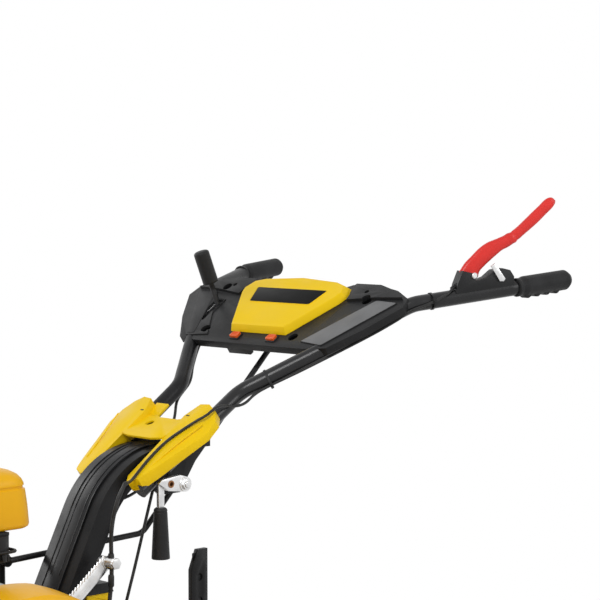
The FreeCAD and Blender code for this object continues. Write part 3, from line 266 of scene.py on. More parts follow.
def turned(bm, profile, place, steps=32, closed=False):
    """Profile of (radius, height) turned about the local Z axis; a radius of 0 closes an end."""
    rings = []
    for radius, height in profile:
        spots = arc((0, 0), radius, circle(steps)) if radius else [(0, 0)]
        rings.append([bm.verts.new(place @ Vector((x, y, height))) for x, y in spots])
    pairs = list(zip(rings, rings[1:]))
    if closed:
        pairs.append((rings[-1], rings[0]))
    for lower, upper in pairs:
        for i in range(steps):
            j = (i + 1) % steps
            corners = [ring[k % len(ring)] for ring, k in ((lower, i), (lower, j), (upper, j), (upper, i))]
            kept = [v for n, v in enumerate(corners) if v not in corners[:n]]
            if len(kept) > 2:
                bm.faces.new(kept)


def lathe(profile, origin, way, steps, closed=False):
    """A turned shape for a piece, standing at a point along a direction."""
    return (turned, profile, facing(origin, way), steps, closed)


def pin(bm, start, end, radius, steps, chamfer):
    """Straight round bar with chamfered ends."""
    way = Vector(end) - Vector(start)
    profile = [(0, 0), (radius - chamfer, 0), (radius, chamfer), (radius, way.length - chamfer),
               (radius - chamfer, way.length), (0, way.length)]
    turned(bm, profile, facing(start, way), steps)


def bent(bm, points, radius, steps, closed=False):
    """Round bar bent along points given in millimetres."""
    rings = []
    count = len(points)
    for i, point in enumerate(points):
        before = points[i - 1] if (i or closed) else point
        after = points[(i + 1) % count] if (i + 1 < count or closed) else point
        way = (Vector(after) - Vector(before)).normalized()
        side = way.cross(Vector((0.31, 0.87, 0.38))).normalized()
        over = way.cross(side)
        rings.append([bm.verts.new(at(*(Vector(point) + (side * cos(a) + over * sin(a)) * radius)))
                      for a in circle(steps)])
    spans = list(zip(rings, rings[1:])) + ([(rings[-1], rings[0])] if closed else [])
    for a, b in spans:
        shift = min(range(steps), key=lambda k: (a[0].co - b[k].co).length)
        for k in range(steps):
            bm.faces.new((a[k], a[(k + 1) % steps], b[(k + 1 + shift) % steps], b[(k + shift) % steps]))
    if not closed:
        bm.faces.new(rings[0][::-1])
        bm.faces.new(rings[-1])


# ------------------------------------------------------------------ pieces
def bake(piece):
    """Fix the piece's modifiers into its mesh."""
    graph = bpy.context.evaluated_depsgraph_get()
    mesh = bpy.data.meshes.new_from_object(piece.evaluated_get(graph), depsgraph=graph)
    piece.modifiers.clear()
    spent = piece.data
    piece.data = mesh
    bpy.data.meshes.remove(spent)


def ease_edges(piece, width, segments):
    soft = piece.modifiers.new("eased edges", "BEVEL")
    soft.width = width * MM
    soft.segments = segments
    soft.limit_method = "ANGLE"
    soft.angle_limit = radians(28.0)
    soft.use_clamp_overlap = True
    soft.miter_outer = "MITER_ARC"


def melt(piece, voxel, rounds):
    """Rounded moulded form of a piece."""
    moulded = piece.modifiers.new("moulded skin", "REMESH")
    moulded.mode = "VOXEL"
    moulded.voxel_size = voxel * MM
    soft = piece.modifiers.new("moulded softness", "SMOOTH")
    soft.factor = 0.5
    soft.iterations = rounds


def finish_piece(piece, slot, body, sharp=38.0, look=None):
    """Bake, shade, paint and hang a piece on its body, or leave it unattached."""
    if piece.modifiers:
        bake(piece)
    mesh = piece.data
    mesh.materials.clear()
    mesh.materials.append(FINISHES[look or slot])
    mesh.polygons.foreach_set("use_smooth", [True] * len(mesh.polygons))
    mesh.polygons.foreach_set("material_index", [0] * len(mesh.polygons))
    mesh.set_sharp_from_angle(angle=radians(sharp))
    if body:
        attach(piece, body)
    return piece


def piece_from(name, bm):
    bmesh.ops.remove_doubles(bm, verts=bm.verts, dist=1e-6)
    bmesh.ops.recalc_face_normals(bm, faces=bm.faces)
    mesh = bpy.data.meshes.new(name)
    bm.to_mesh(mesh)
    bm.free()
    piece = bpy.data.objects.new(name, mesh)
    bpy.context.scene.collection.objects.link(piece)
    return piece


def made(name, slot, body, parts, ease=0.0, segments=2, sharp=38.0, look=None):
    """One piece from a list of shapes, each a function and what it is given."""
    bm = bmesh.new()
    for shape, *given in parts:
        shape(bm, *given)
    piece = piece_from(name, bm)
    if ease:
        ease_edges(piece, ease, segments)
    return finish_piece(piece, slot, body, sharp, look)


def copy_of(node, name):
    """Merged copy of a solid's mesh, with its flat faces whole again."""
    bm = bmesh.new()
    bm.from_mesh(frame["nodes"][node].data)
    bmesh.ops.remove_doubles(bm, verts=bm.verts, dist=2e-6)
    bmesh.ops.dissolve_limit(bm, angle_limit=radians(0.6), verts=bm.verts, edges=bm.edges)
    return piece_from(name, bm)


# ------------------------------------------------------------------ node trees for what repeats
def new_tree(name, sockets):
    """Geometry tree with named inputs, its input and output nodes and a way to link them."""
    tree = bpy.data.node_groups.new(name, "GeometryNodeTree")
    tree.interface.new_socket("Geometry", in_out="INPUT", socket_type="NodeSocketGeometry")
    for label, kind, value in sockets:
        socket = tree.interface.new_socket(label, in_out="INPUT", socket_type="NodeSocket" + kind)
        if value is not None:
            socket.default_value = value
    tree.interface.new_socket("Geometry", in_out="OUTPUT", socket_type="NodeSocketGeometry")
    return tree, tree.nodes.new("NodeGroupInput").outputs, tree.nodes.new("NodeGroupOutput").inputs


def geo(tree, kind, inputs=None, **values):
    """Adds a node, sets its properties and fills or links its inputs."""
    node = tree.nodes.new(kind)
    for key, value in values.items():
        setattr(node, key, value)
    for key, value in (inputs or {}).items():
        socket = node.inputs[key]
        if isinstance(value, bpy.types.NodeSocket):
            tree.links.new(value, socket)
        else:
            socket.default_value = value
    return node


def maths(tree, operation, a, b):
    return geo(tree, "ShaderNodeMath", {0: a, 1: b}, operation=operation).outputs[0]


def close_tree(tree, out, geometry, material):
    whole = geo(tree, "GeometryNodeRealizeInstances", {"Geometry": geometry})
    painted = geo(tree, "GeometryNodeSetMaterial", {"Geometry": whole.outputs[0], "Material": material})
    tree.links.new(painted.outputs[0], out[0])


def aligned_instances(tree, points, shape):
    """One shape on every point, its Z along the point's own direction."""
    way = geo(tree, "GeometryNodeInputNamedAttribute", {"Name": "way"}, data_type="FLOAT_VECTOR")
    turn = geo(tree, "FunctionNodeAlignRotationToVector", {"Vector": way.outputs[0]}, axis="Z")
    return geo(tree, "GeometryNodeInstanceOnPoints",
               {"Points": points, "Instance": shape, "Rotation": turn.outputs[0]}).outputs[0]


def lifted(tree, shape, height):
    up = geo(tree, "ShaderNodeCombineXYZ", {"Z": height})
    return geo(tree, "GeometryNodeTransform", {"Geometry": shape, "Translation": up.outputs[0]}).outputs[0]


def bolt_tree():
    """Washer and many-sided head on every point."""
    tree, given, out = new_tree("bolt_heads", [
        ("Head radius", "Float", 0.0075), ("Head height", "Float", 0.0053), ("Sides", "Int", 6),
        ("Washer radius", "Float", 0.0095), ("Washer height", "Float", 0.0016), ("Finish", "Material", None)])
    head = geo(tree, "GeometryNodeMeshCylinder", {
        "Vertices": given["Sides"], "Radius": given["Head radius"], "Depth": given["Head height"]})
    washer = geo(tree, "GeometryNodeMeshCylinder", {
        "Vertices": 24, "Radius": given["Washer radius"], "Depth": given["Washer height"]})
    half_head = maths(tree, "MULTIPLY", given["Head height"], 0.5)
    half_washer = maths(tree, "MULTIPLY", given["Washer height"], 0.5)
    lift = maths(tree, "ADD", half_head, given["Washer height"])
    both = geo(tree, "GeometryNodeJoinGeometry")
    tree.links.new(lifted(tree, head.outputs["Mesh"], lift), both.inputs[0])
    tree.links.new(lifted(tree, washer.outputs["Mesh"], half_washer), both.inputs[0])
    placed = aligned_instances(tree, given["Geometry"], both.outputs[0])
    close_tree(tree, out, placed, given["Finish"])
    return tree


def bead_tree():
    """Overlapping flattened beads on every point, as a weld has."""
    tree, given, out = new_tree("weld_beads", [
        ("Bead radius", "Float", 0.0032), ("Flatness", "Float", 0.62), ("Finish", "Material", None)])
    bead = geo(tree, "GeometryNodeMeshIcoSphere", {"Radius": given["Bead radius"], "Subdivisions": 2})
    squash = geo(tree, "ShaderNodeCombineXYZ", {"X": 1.0, "Y": given["Flatness"], "Z": 1.0})
    flat = geo(tree, "GeometryNodeTransform", {"Geometry": bead.outputs["Mesh"], "Scale": squash.outputs[0]})
    placed = aligned_instances(tree, given["Geometry"], flat.outputs[0])
    close_tree(tree, out, placed, given["Finish"])
    return tree


def bar_tree():
    """Thin bars on every point, long way along the point's own direction."""
    tree, given, out = new_tree("bars", [
        ("Length", "Float", 0.03), ("Width", "Float", 0.004), ("Thickness", "Float", 0.003),
        ("Finish", "Material", None)])
    size = geo(tree, "ShaderNodeCombineXYZ", {
        "X": given["Width"], "Y": given["Thickness"], "Z": given["Length"]})
    bar = geo(tree, "GeometryNodeMeshCube", {"Size": size.outputs[0]})
    placed = aligned_instances(tree, given["Geometry"], bar.outputs["Mesh"])
    close_tree(tree, out, placed, given["Finish"])
    return tree


def hair_tree():
    """Thin tapered hairs standing on every point, a little uneven."""
    tree, given, out = new_tree("moulding_hairs", [
        ("Length", "Float", 0.007), ("Root radius", "Float", 0.0007), ("Finish", "Material", None)])
    hair = geo(tree, "GeometryNodeMeshCone", {
        "Vertices": 5, "Radius Top": 0.0002, "Radius Bottom": given["Root radius"], "Depth": given["Length"]})
    placed = aligned_instances(tree, given["Geometry"], hair.outputs["Mesh"])
    uneven = geo(tree, "FunctionNodeRandomValue", {2: 0.55, 3: 1.0, "Seed": 11}, data_type="FLOAT")
    scaled = geo(tree, "GeometryNodeScaleInstances", {"Instances": placed, "Scale": uneven.outputs[1]})
    close_tree(tree, out, scaled.outputs[0], given["Finish"])
    return tree


TREES = {"bolt_heads": bolt_tree, "weld_beads": bead_tree, "bars": bar_tree, "moulding_hairs": hair_tree}


def repeated(name, kind, rows, body, slot, sizes, ease=0.0):
    """Runs a tree over points given as (x, y, z, direction), and hangs the plain mesh on its body."""
    tree = bpy.data.node_groups.get(kind) or TREES[kind]()
    mesh = bpy.data.meshes.new(name)
    mesh.from_pydata([at(x, y, z) for x, y, z, _ in rows], [], [])
    way = mesh.attributes.new("way", "FLOAT_VECTOR", "POINT")
    way.data.foreach_set("vector", [c for *_, direction in rows for c in Vector(direction).normalized()])
    piece = bpy.data.objects.new(name, mesh)
    bpy.context.scene.collection.objects.link(piece)
    modifier = piece.modifiers.new("repeat", "NODES")
    modifier.node_group = tree
    named = {item.name: item.identifier for item in tree.interface.items_tree if item.in_out == "INPUT"}
    for label, value in sizes.items():
        modifier[named[label]] = value
    modifier[named["Finish"]] = FINISHES[slot]
    if ease:
        ease_edges(piece, ease, 1)
    bake(piece)
    return finish_piece(piece, slot, body)


def bolts(name, rows, body, slot, radius, height, ease=0.5, sides=6, washer=0.0095, flat=0.0016):
    """Bolt heads on washers of a radius and a height."""
    repeated(name, "bolt_heads", rows, body, slot, {
        "Head radius": radius, "Head height": height, "Sides": sides, "Washer radius": washer,
        "Washer height": flat}, ease)


def bars(name, rows, body, slot, length, width, thickness, ease):
    repeated(name, "bars", rows, body, slot, {"Length": length, "Width": width, "Thickness": thickness}, ease)


def local_rows(place, points, way=UP):
    """Rows for a tree from points on a tipped face, all looking along one local direction."""
    direction = tuple(place.to_3x3().normalized() @ Vector(way))
    return [(*spot, direction) for spot in in_mm(place, points)]


def round_rows(middle, radius, count, start=0.0, way=None, axis="y"):
    """Rows round a circle about an axis; without a direction they look outward."""
    x, y, z = middle
    rows = []
    for i in range(count):
        a = radians(start + 360.0 * i / count)
        c, s = cos(a), sin(a)
        out = (c, 0, s) if axis == "y" else (0, c, s) if axis == "x" else (c, s, 0)
        rows.append((x + out[0] * radius, y + out[1] * radius, z + out[2] * radius, way or out))
    return rows


# ------------------------------------------------------------------ materials
FINISHES = {}


def grey(value):
    return (value, value, value, 1.0)


def shaded(colour, factor):
    return (*(channel * factor for channel in colour[:3]), 1.0)


def plain_shader(name, colour, roughness, metallic=0.0, coat=0.0, sheen=0.0, specular=0.5):
    material = bpy.data.materials.new(name)
    material.use_nodes = True
    levels = {"Base Color": colour, "Roughness": roughness, "Metallic": metallic, "Coat Weight": coat,
              "Specular IOR Level": specular, "Coat Roughness": 0.14, "Sheen Weight": sheen}
    for label, value in levels.items():
        material.node_tree.nodes["Principled BSDF"].inputs[label].default_value = value
    return material


def mapped(tree, stretch=(1.0, 1.0, 1.0), centre=(0.0, 0.0, 0.0)):
    """Object coordinates, stretched about a point."""
    where = geo(tree, "ShaderNodeTexCoord")
    return geo(tree, "ShaderNodeMapping", {
        "Vector": where.outputs["Object"], "Scale": stretch,
        "Location": [-c * s for c, s in zip(centre, stretch)]}).outputs["Vector"]


def noise(tree, scale, detail=4.0, stretch=(1.0, 1.0, 1.0)):
    return geo(tree, "ShaderNodeTexNoise", {
        "Vector": mapped(tree, stretch), "Scale": scale, "Detail": detail, "Roughness": 0.55}).outputs["Fac"]


def grain(tree, scale):
    """Fine even relief."""
    return noise(tree, scale, detail=3.0)


def cells(tree, scale):
    """Relief of small rounded cells, as leather and mould textures have."""
    return geo(tree, "ShaderNodeTexVoronoi", {"Vector": mapped(tree), "Scale": scale}).outputs["Distance"]


def mould_rings(tree, scale):
    """Rings round the drive axle, as a tyre mould leaves."""
    middle = (0.0, AXLE_Y * MM, WHEEL_R * MM)
    return geo(tree, "ShaderNodeTexWave", {
        "Vector": mapped(tree, (0, 1, 1), middle), "Scale": scale, "Distortion": 0.0},
        wave_type="RINGS", rings_direction="X").outputs["Fac"]


def ramp(tree, source, *stops):
    """Blend between two stops, each a position and a colour."""
    node = geo(tree, "ShaderNodeValToRGB", {"Fac": source})
    for element, (position, colour) in zip(node.color_ramp.elements, stops):
        element.position, element.color = position, colour
    return node.outputs["Color"]


def worn(tree, base, bare, amount):
    """Rubbed lighter tone along proud edges, broken up by noise."""
    form = geo(tree, "ShaderNodeNewGeometry")
    edge = geo(tree, "ShaderNodeMapRange", {
        "Value": form.outputs["Pointiness"], "From Min": 0.53, "From Max": 0.62, "To Max": amount})
    patch = ramp(tree, noise(tree, 60.0), (0.42, grey(0.0)), (0.6, grey(1.0)))
    where = maths(tree, "MULTIPLY", edge.outputs["Result"], patch)
    mix = geo(tree, "ShaderNodeMix", {"Factor": where, "A": base, "B": bare}, data_type="RGBA")
    return mix.outputs["Result"]


def finish(slot, name, colour, roughness, clouds, reliefs, gloss=None, wear=None, span=(0.35, 0.68),
           stretch=(1, 1, 1), **levels):
    """One material; clouds are (dark, light, scale), reliefs (texture, scale, height) in the order they lie,
    gloss is (low, high, scale) and wear (bare colour, amount)."""
    material = FINISHES[slot] = plain_shader(name, colour, roughness, **levels)
    tree = material.node_tree
    shader = tree.nodes["Principled BSDF"].inputs
    dark, light, scale = clouds
    tone = ramp(tree, noise(tree, scale, stretch=stretch), (span[0], dark), (span[1], light))
    tree.links.new(worn(tree, tone, *wear) if wear else tone, shader["Base Color"])
    if gloss:
        low, high, scale = gloss
        uneven = ramp(tree, noise(tree, scale, detail=6.0), (0.3, grey(low)), (0.7, grey(high)))
        tree.links.new(uneven, shader["Roughness"])
    for texture, scale, height in reliefs:
        bump = geo(tree, "ShaderNodeBump", {
            "Strength": 1.0, "Distance": height, "Height": texture(tree, scale)})
        if shader["Normal"].is_linked:
            tree.links.new(shader["Normal"].links[0].from_socket, bump.inputs["Normal"])
        tree.links.new(bump.outputs["Normal"], shader["Normal"])


def make_finishes(colours):
    """One material for each slot of the record, and the looks that small pieces add."""
    yellow, cover, black, moulding, pad, red, orange, white = (
        tuple(getattr(colours, name)) for name in TillerColours.__annotations__)

    # sheet yellow: the panel yellow, deepened towards orange as painted shade
    finish("yellow_paint", "sheet_yellow", yellow, 0.36, (shaded(yellow, 0.93), yellow, 7.0),
           [(grain, 700.0, 0.00003)], gloss=(0.30, 0.44, 18.0), coat=0.05, specular=0.22)
    finish("yellow_plastic", "moulded_yellow", cover, 0.42, (shaded(cover, 0.95), cover, 9.0),
           [(grain, 1500.0, 0.00005)], gloss=(0.36, 0.50, 22.0), specular=0.18)
    finish("black_paint", "stove_black", black, 0.40, (shaded(black, 0.8), shaded(black, 1.35), 14.0),
           [(grain, 900.0, 0.00004)], gloss=(0.26, 0.42, 25.0), wear=((0.075, 0.077, 0.082, 1.0), 0.55),
           specular=0.15)
    finish("tube", "tube_black", black, 0.24, (shaded(black, 0.9), shaded(black, 1.5), 14.0),
           [(grain, 900.0, 0.00004)], gloss=(0.18, 0.30, 25.0), specular=0.32)
    finish("black_plastic", "moulded_black", moulding, 0.46,
           (shaded(moulding, 0.85), shaded(moulding, 1.35), 12.0), [(cells, 900.0, 0.00010)],
           gloss=(0.40, 0.54, 20.0), specular=0.20)
    finish("inlay", "inlay_grey", pad, 0.52, (shaded(pad, 0.85), shaded(pad, 1.12), 15.0),
           [(cells, 480.0, 0.00018)], specular=0.3)
    finish("plate", "blank_plate", grey(0.004), 0.34, (grey(0.003), grey(0.006), 30.0),
           [(grain, 60.0, 0.00006)], specular=0.08)
    finish("grip", "grip_rubber", shaded(moulding, 0.8), 0.58,
           (shaded(moulding, 0.6), shaded(moulding, 1.25), 30.0), [(cells, 1100.0, 0.00014)],
           sheen=0.04, specular=0.20)
    finish("red_plastic", "lever_red", red, 0.30, (shaded(red, 0.88), red, 25.0), [(grain, 1200.0, 0.00007)],
           specular=0.28)
    finish("lamp", "lamp_orange", orange, 0.22, (shaded(orange, 0.8), orange, 60.0), [(cells, 320.0, 0.0002)],
           coat=0.1, specular=0.3)
    finish("tyre", "tyre_rubber", grey(0.022), 0.74, (grey(0.017), grey(0.046), 16.0),
           [(mould_rings, 34.0, 0.0006), (grain, 420.0, 0.0003)], span=(0.3, 0.75), sheen=0.05, specular=0.25)
    finish("rim", "rim_white", white, 0.38, (shaded(white, 0.88), white, 10.0), [(grain, 800.0, 0.00006)],
           coat=0.2)
    finish("cast", "cast_black", grey(0.026), 0.55, (grey(0.020), grey(0.050), 20.0),
           [(grain, 450.0, 0.0004)], wear=(grey(0.11), 0.5), specular=0.28)
    finish("alloy", "sand_cast_alloy", grey(0.50), 0.44, (grey(0.42), grey(0.57), 26.0),
           [(grain, 600.0, 0.00025)], gloss=(0.36, 0.54, 45.0), metallic=0.9)
    finish("engine_black", "engine_black", grey(0.020), 0.42, (grey(0.018), grey(0.040), 16.0),
           [(grain, 700.0, 0.0001)], specular=0.28)
    finish("steel", "bright_steel", grey(0.55), 0.30, (grey(0.46), grey(0.62), 30.0),
           [(grain, 900.0, 0.00005)], gloss=(0.24, 0.40, 50.0), stretch=(1, 1, 6), metallic=1.0)
    finish("zinc", "zinc_plate", grey(0.70), 0.30, (grey(0.60), grey(0.78), 40.0), [(cells, 700.0, 0.00006)],
           gloss=(0.24, 0.42, 60.0), metallic=1.0)
    finish("tines", "forged_tine", (0.10, 0.085, 0.075, 1.0), 0.46,
           ((0.05, 0.045, 0.04, 1.0), (0.20, 0.18, 0.16, 1.0), 18.0), [(grain, 380.0, 0.0003)],
           wear=((0.42, 0.40, 0.38, 1.0), 0.9), metallic=0.7)
    finish("exhaust", "heated_steel", (0.34, 0.30, 0.25, 1.0), 0.42,
           ((0.22, 0.17, 0.13, 1.0), (0.45, 0.42, 0.38, 1.0), 12.0), [(grain, 500.0, 0.0002)], metallic=0.9)
    finish("cable", "cable_sheath", grey(0.012), 0.42, (grey(0.014), grey(0.030), 60.0),
           [(grain, 1400.0, 0.00005)], specular=0.25)
    finish("bush", "sintered_bush", (0.30, 0.14, 0.06, 1.0), 0.45,
           ((0.22, 0.10, 0.045, 1.0), (0.38, 0.19, 0.09, 1.0), 200.0), [(grain, 900.0, 0.0001)], metallic=0.8)


SLOTS = {}
NODE_LOOKS = {"handle_tube_left": "tube", "gear_lever": "black_paint"}


class TILLER_OT_finish_nodes(bpy.types.Operator):
    """Give every solid of the frame its finish"""
    bl_idname = "tiller.finish_nodes"
    bl_label = "Finish the frame"

    def execute(self, context):
        make_finishes(context.scene.tiller_colours)
        for node in frame["nodes"].values():
            slot = node.data.materials[0].name.split(".")[0]
            SLOTS[node.name] = slot
            node.data.materials.clear()
            node.data.materials.append(FINISHES[NODE_LOOKS.get(node.name, slot)])
        return {"FINISHED"}


# ------------------------------------------------------------------ softened and moulded copies
EASED = {                           # (width of the softened edge in mm, segments)
    "console_tray": (1.5, 3), "console_cover": (2.6, 4), "wing_cover": (1.6, 3), "clutch_bracket": (1.4, 2),
    "clamp_casting": (1.6, 3), "clamp_lever": (0.7, 2), "lock_tab": (0.5, 2), "handle_head": (0.9, 2),
    "console_bracket": (0.8, 2), "column": (1.8, 3), "quadrant": (0.5, 2), "depth_bracket": (1.3, 2),
    "rear_cover": (1.6, 3), "rear_cover_lid": (2.0, 3), "tank_cap": (1.2, 3),
    "air_cleaner": (2.2, 3), "engine_block": (2.4, 3), "engine_cylinder": (0.5, 1), "fan_shroud": (3.0, 4),
    "gear_case": (2.0, 2), "clutch_housing": (2.0, 2), "engine_frame": (1.2, 2), "shift_post": (0.8, 2),
    "depth_bar": (0.9, 2), "tyre_left": (1.6, 2), "tyre_right": (1.6, 2), "rim_left": (1.2, 2),
    "rim_right": (1.2, 2), "tines_left": (0.9, 1), "tines_right": (0.9, 1), "fender_left": (0.9, 2),
    "fender_right": (0.9, 2), "tine_hood": (0.8, 2),
}
TRAY_WELLS = [CONSOLE @ Matrix.Translation((x, y, 0)) for x, y in (
    (179.5, 115.9), (89.7, 6.5), (-138.0, 9.3), (-182.6, 127.0))]
WELL_R = 9.5
FALL, FALL_START, FALL_SPAN = 0.025, 4.0, 24.0      # depth, and degrees behind the crest of a fender
FALL_OUTER, FALL_WIDTH = 0.342, 0.182               # from the middle of the machine


def cut_wells(piece):
    """Screw wells through the skin of the tray."""
    bm = bmesh.new()
    for place in TRAY_WELLS:
        turned(bm, disc(WELL_R, -16, 9), place, 28)
    cutter = piece_from("well_cutter", bm)
    cut = piece.modifiers.new("wells", "BOOLEAN")
    cut.operation = "DIFFERENCE"
    cut.solver = "EXACT"
    cut.object = cutter
    bake(piece)
    bpy.data.objects.remove(cutter)


def settled(piece):
    """Let the inner rear part of a fender fall away from its round."""
    for vertex in piece.data.vertices:
        y, z = vertex.co.y - AXLE_Y * MM, vertex.co.z - WHEEL_R * MM
        turn = (degrees(atan2(y, z)) - FALL_START) / FALL_SPAN
        turn = min(max(turn, 0.0), 1.0)
        inward = min(max((FALL_OUTER - abs(vertex.co.x)) / FALL_WIDTH, 0.0), 1.0)
        drop = FALL * turn * turn * (3 - 2 * turn) * inward / hypot(y, z)
        vertex.co.y -= y * drop
        vertex.co.z -= z * drop


class TILLER_OT_ease_edges(bpy.types.Operator):
    """Stand a copy with softened edges in for every pressed, cast or moulded solid"""
    bl_idname = "tiller.ease_edges"
    bl_label = "Soften the edges"

    def execute(self, context):
        for node, (width, segments) in EASED.items():
            piece = copy_of(node, node + "_eased")
            if node == "console_tray":
                cut_wells(piece)
            if node.startswith("fender"):
                settled(piece)
            ease_edges(piece, width, segments)
            finish_piece(piece, SLOTS[node], BODY_OF[node])
            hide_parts(node)
        return {"FINISHED"}


KNOB_WAY = Vector((-10, -32, 96)).normalized()
GRIP_WAY = (TUBE[4] - TUBE[3]).normalized()
FAR_GRIP_WAY = Vector((-GRIP_WAY.x, GRIP_WAY.y, GRIP_WAY.z))
MOULDED = {             # (fineness of the skin in mm, rounds of smoothing, swelling, axis left alone)
    "grip_left": (1.1, 7, 0.25, GRIP_WAY), "grip_right": (1.1, 7, 0.25, FAR_GRIP_WAY),
    "gear_knob": (1.0, 8, 2.4, KNOB_WAY), "clamp_grip": (0.9, 8, 1.2, Vector(UP)),
}


def swell(piece, by, axis):
    """Push a moulded skin outward, but not along one axis."""
    mesh = piece.data
    outward = [Vector(normal.vector) for normal in mesh.vertex_normals]
    for vertex, normal in zip(mesh.vertices, outward):
        vertex.co += (normal - axis * normal.dot(axis)) * by * MM


class TILLER_OT_mould_handles(bpy.types.Operator):
    """Round the grips and the knob as moulded rubber and plastic are"""
    bl_idname = "tiller.mould_handles"
    bl_label = "Mould the handles"

    def execute(self, context):
        for node, (fineness, rounds, by, axis) in MOULDED.items():
            piece = copy_of(node, node + "_moulded")
            melt(piece, fineness, rounds)
            bake(piece)
            swell(piece, by, axis)
            finish_piece(piece, SLOTS[node], BODY_OF[node], sharp=70.0)
            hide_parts(node)
        return {"FINISHED"}


# ------------------------------------------------------------------ console and wing cover
PAD = [(119, -6), (172, -12), (253, 113), (204, 116)]
FAR_PAD = [(-204, 116), (-253, 113), (-172, -12), (-153, -9)]
LABEL = [(-75, 79), (75, 79), (88, 120), (-88, 120)]
TRAY_SCREWS = [(134, 4), (168, 134), (-134, 4), (-168, 134)]
PAD_TOP, COVER_TOP = 2.0, 14.0
LAMPS_X = [side * 46 for side in SIDES]
CREASE = [(82, -58), (88, -30), (96, 6), (104, 34), (108, 52)]


def lamp_outline(x, half, low, high, corner):
    """Outline of a lamp, narrower by a millimetre on each side at its upper edge."""
    return rounded([(x - half, low), (x + half, low), (x + half - 1, high), (x - half + 1, high)], corner)


def edging(outline, height, radius, steps):
    """A round edging along a closed outline on the console."""
    return (bent, in_mm(CONSOLE, [(x, y, height) for x, y in outline]), radius, steps, True)


class TILLER_OT_dress_console(bpy.types.Operator):
    """Inlays, blank plate, wells, lamps, gear gate and screws of the control console"""
    bl_idname = "tiller.dress_console"
    bl_label = "Dress the console"

    def execute(self, context):
        sizes = context.scene.tiller_fittings
        made("near_inlay", "black_plastic", "handlebar",
             [(slab, rounded(drawn_in(PAD, 0.8), 4), PAD_TOP - 2, PAD_TOP + 0.9, CONSOLE)], 0.7, look="inlay")
        made("far_inlay", "black_plastic", "handlebar",
             [(slab, rounded(drawn_in(FAR_PAD, 5), 5), PAD_TOP - 1, PAD_TOP + 0.7, CONSOLE)], 0.7)
        made("blank_label_plate", "black_plastic", "handlebar",
             [(slab, rounded(LABEL, 4), COVER_TOP - 1, COVER_TOP + 0.9, CONSOLE)], 0.5, look="plate")
        made("label_rim", "yellow_plastic", "handlebar",
             [edging(rounded(drawn_in(LABEL, -1.5), 5), COVER_TOP + 0.2, 0.9, 6)])
        # the well cups take the near-black plate finish, darker than the tray's own black plastic: painted
        # shade in the screw wells
        cup = [(0, -12), (WELL_R - 1, -12), (WELL_R + 1.2, -10), (WELL_R + 1.2, -3.8), (WELL_R, -3.8),
               (WELL_R - 0.6, -9.5), (WELL_R - 2, -10.5), (0, -10.5)]
        made("tray_wells", "black_plastic", "handlebar", [(turned, cup, place, 28) for place in TRAY_WELLS],
             look="plate")
        self.lamps()
        self.gate()
        bolts("tray_screws", local_rows(CONSOLE, [(x, y, -8) for x, y in TRAY_SCREWS]), "handlebar", "zinc",
              0.0034, 0.0022, sides=16, washer=0.0043, flat=0.0008)
        under = [(x, 53, -22) for x in (-205, -70, 70, 205)]
        bolts("bracket_bolts", local_rows(CONSOLE, under, DOWN), "handlebar", "zinc",
              sizes.bolt_radius * 0.8, sizes.bolt_height * 0.8, 0.4)
        return {"FINISHED"}

    def lamps(self):
        lens = made("console_lenses", "lamp", "handlebar",
                    [(slab, lamp_outline(x, 10, -10, 3, 2.5), 0, 6.5, CONSOLE) for x in LAMPS_X], 1.6, 4)
        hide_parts("console_lamps")
        made("lamp_bezels", "black_plastic", "handlebar",
             [(slab, lamp_outline(x, 12.5, -12.5, 5.5, 3.5), -0.5, 2.0, CONSOLE) for x in LAMPS_X], 0.8)
        points = [(x + dx, -3.5, 6.5) for x in LAMPS_X for dx in (-6, -3, 0, 3, 6)]
        bars("lens_ribs", local_rows(CONSOLE, points, BACKWARD), "handlebar", "lamp",
             0.010, 0.0012, 0.0012, 0.3)

    def gate(self):
        """Steel gate under the slot, with a notch for each gear, and the lever's rubber wiper."""
        x0, x1, y0, y1 = -186, -166, 32, 94
        made("gear_gate", "zinc", "handlebar",
             [(box, (x0 - 12, y0 - 10, -13), (x0 + 6, y1 + 10, -11), CONSOLE),
              (box, (x1 - 6, y0 - 10, -13), (x1 + 12, y1 + 10, -11), CONSOLE)]
             + [(box, (x0 - 12, y, -13.5), (x1 + 12, y + 7, -11.5), CONSOLE)
                for y in (y0 - 10, 52, 78, y1 + 2)],
             0.4, 1)
        made("gate_rim", "black_plastic", "handlebar",
             [edging(rounded(rect(x0 - 3, y0 - 3, x1 + 3, y1 + 3), 5), 0.4, 1.5, 8)])


class TILLER_OT_dress_wing_cover(bpy.types.Operator):
    """Raised creases of the leaf-shaped cover, and black patches that paint shade into its small vent slots
    """
    bl_idname = "tiller.dress_wing_cover"
    bl_label = "Dress the wing cover"

    def execute(self, context):
        creases = [smooth_way([(side * x, y, 0) for x, y in CREASE], 24) for side in SIDES]
        made("leaf_creases", "yellow_plastic", "handlebar",
             [(bent, in_mm(LEAF, way), 1.1, 8) for way in creases])
        # black patches, slightly sunk into the leaf, stand in for the vent slots: painted shade where the
        # openings are dark
        made("leaf_vents", "black_plastic", "handlebar",
             [(slab, rounded(rect(side * 55, 66, side * 63, 68.5), 1.0), -1.0, 0.4, LEAF) for side in SIDES],
             0.2, 1)
        return {"FINISHED"}


# ------------------------------------------------------------------ levers and clamp
LEVER_UPPER = [(-23, 14), (-12, 27), (1, 37), (17, 49), (33, 57), (49, 61), (64, 65), (78, 70), (90, 76),
               (105, 86), (121, 97), (136, 107), (147, 115), (155, 118.5), (162, 118), (168, 112)]
LEVER_LOWER = [(4, 2), (9, 12), (21, 21), (34, 29), (48, 37), (58, 42), (69, 45), (87, 53), (98, 60),
               (115, 70), (131, 80), (145, 90), (158, 99), (166, 106)]
LEVER_HALF = 7.5                    # half thickness of the lever
CABLE_END = Vector((299.8, 850.1, 990.8))   # where the clutch cable enters its adjuster
CABLE_WAY = (CABLE_END - Vector((297.5, 838.0, 983.8))).normalized()
CLAMP_FACE = 95                     # outer face of the clamp casting


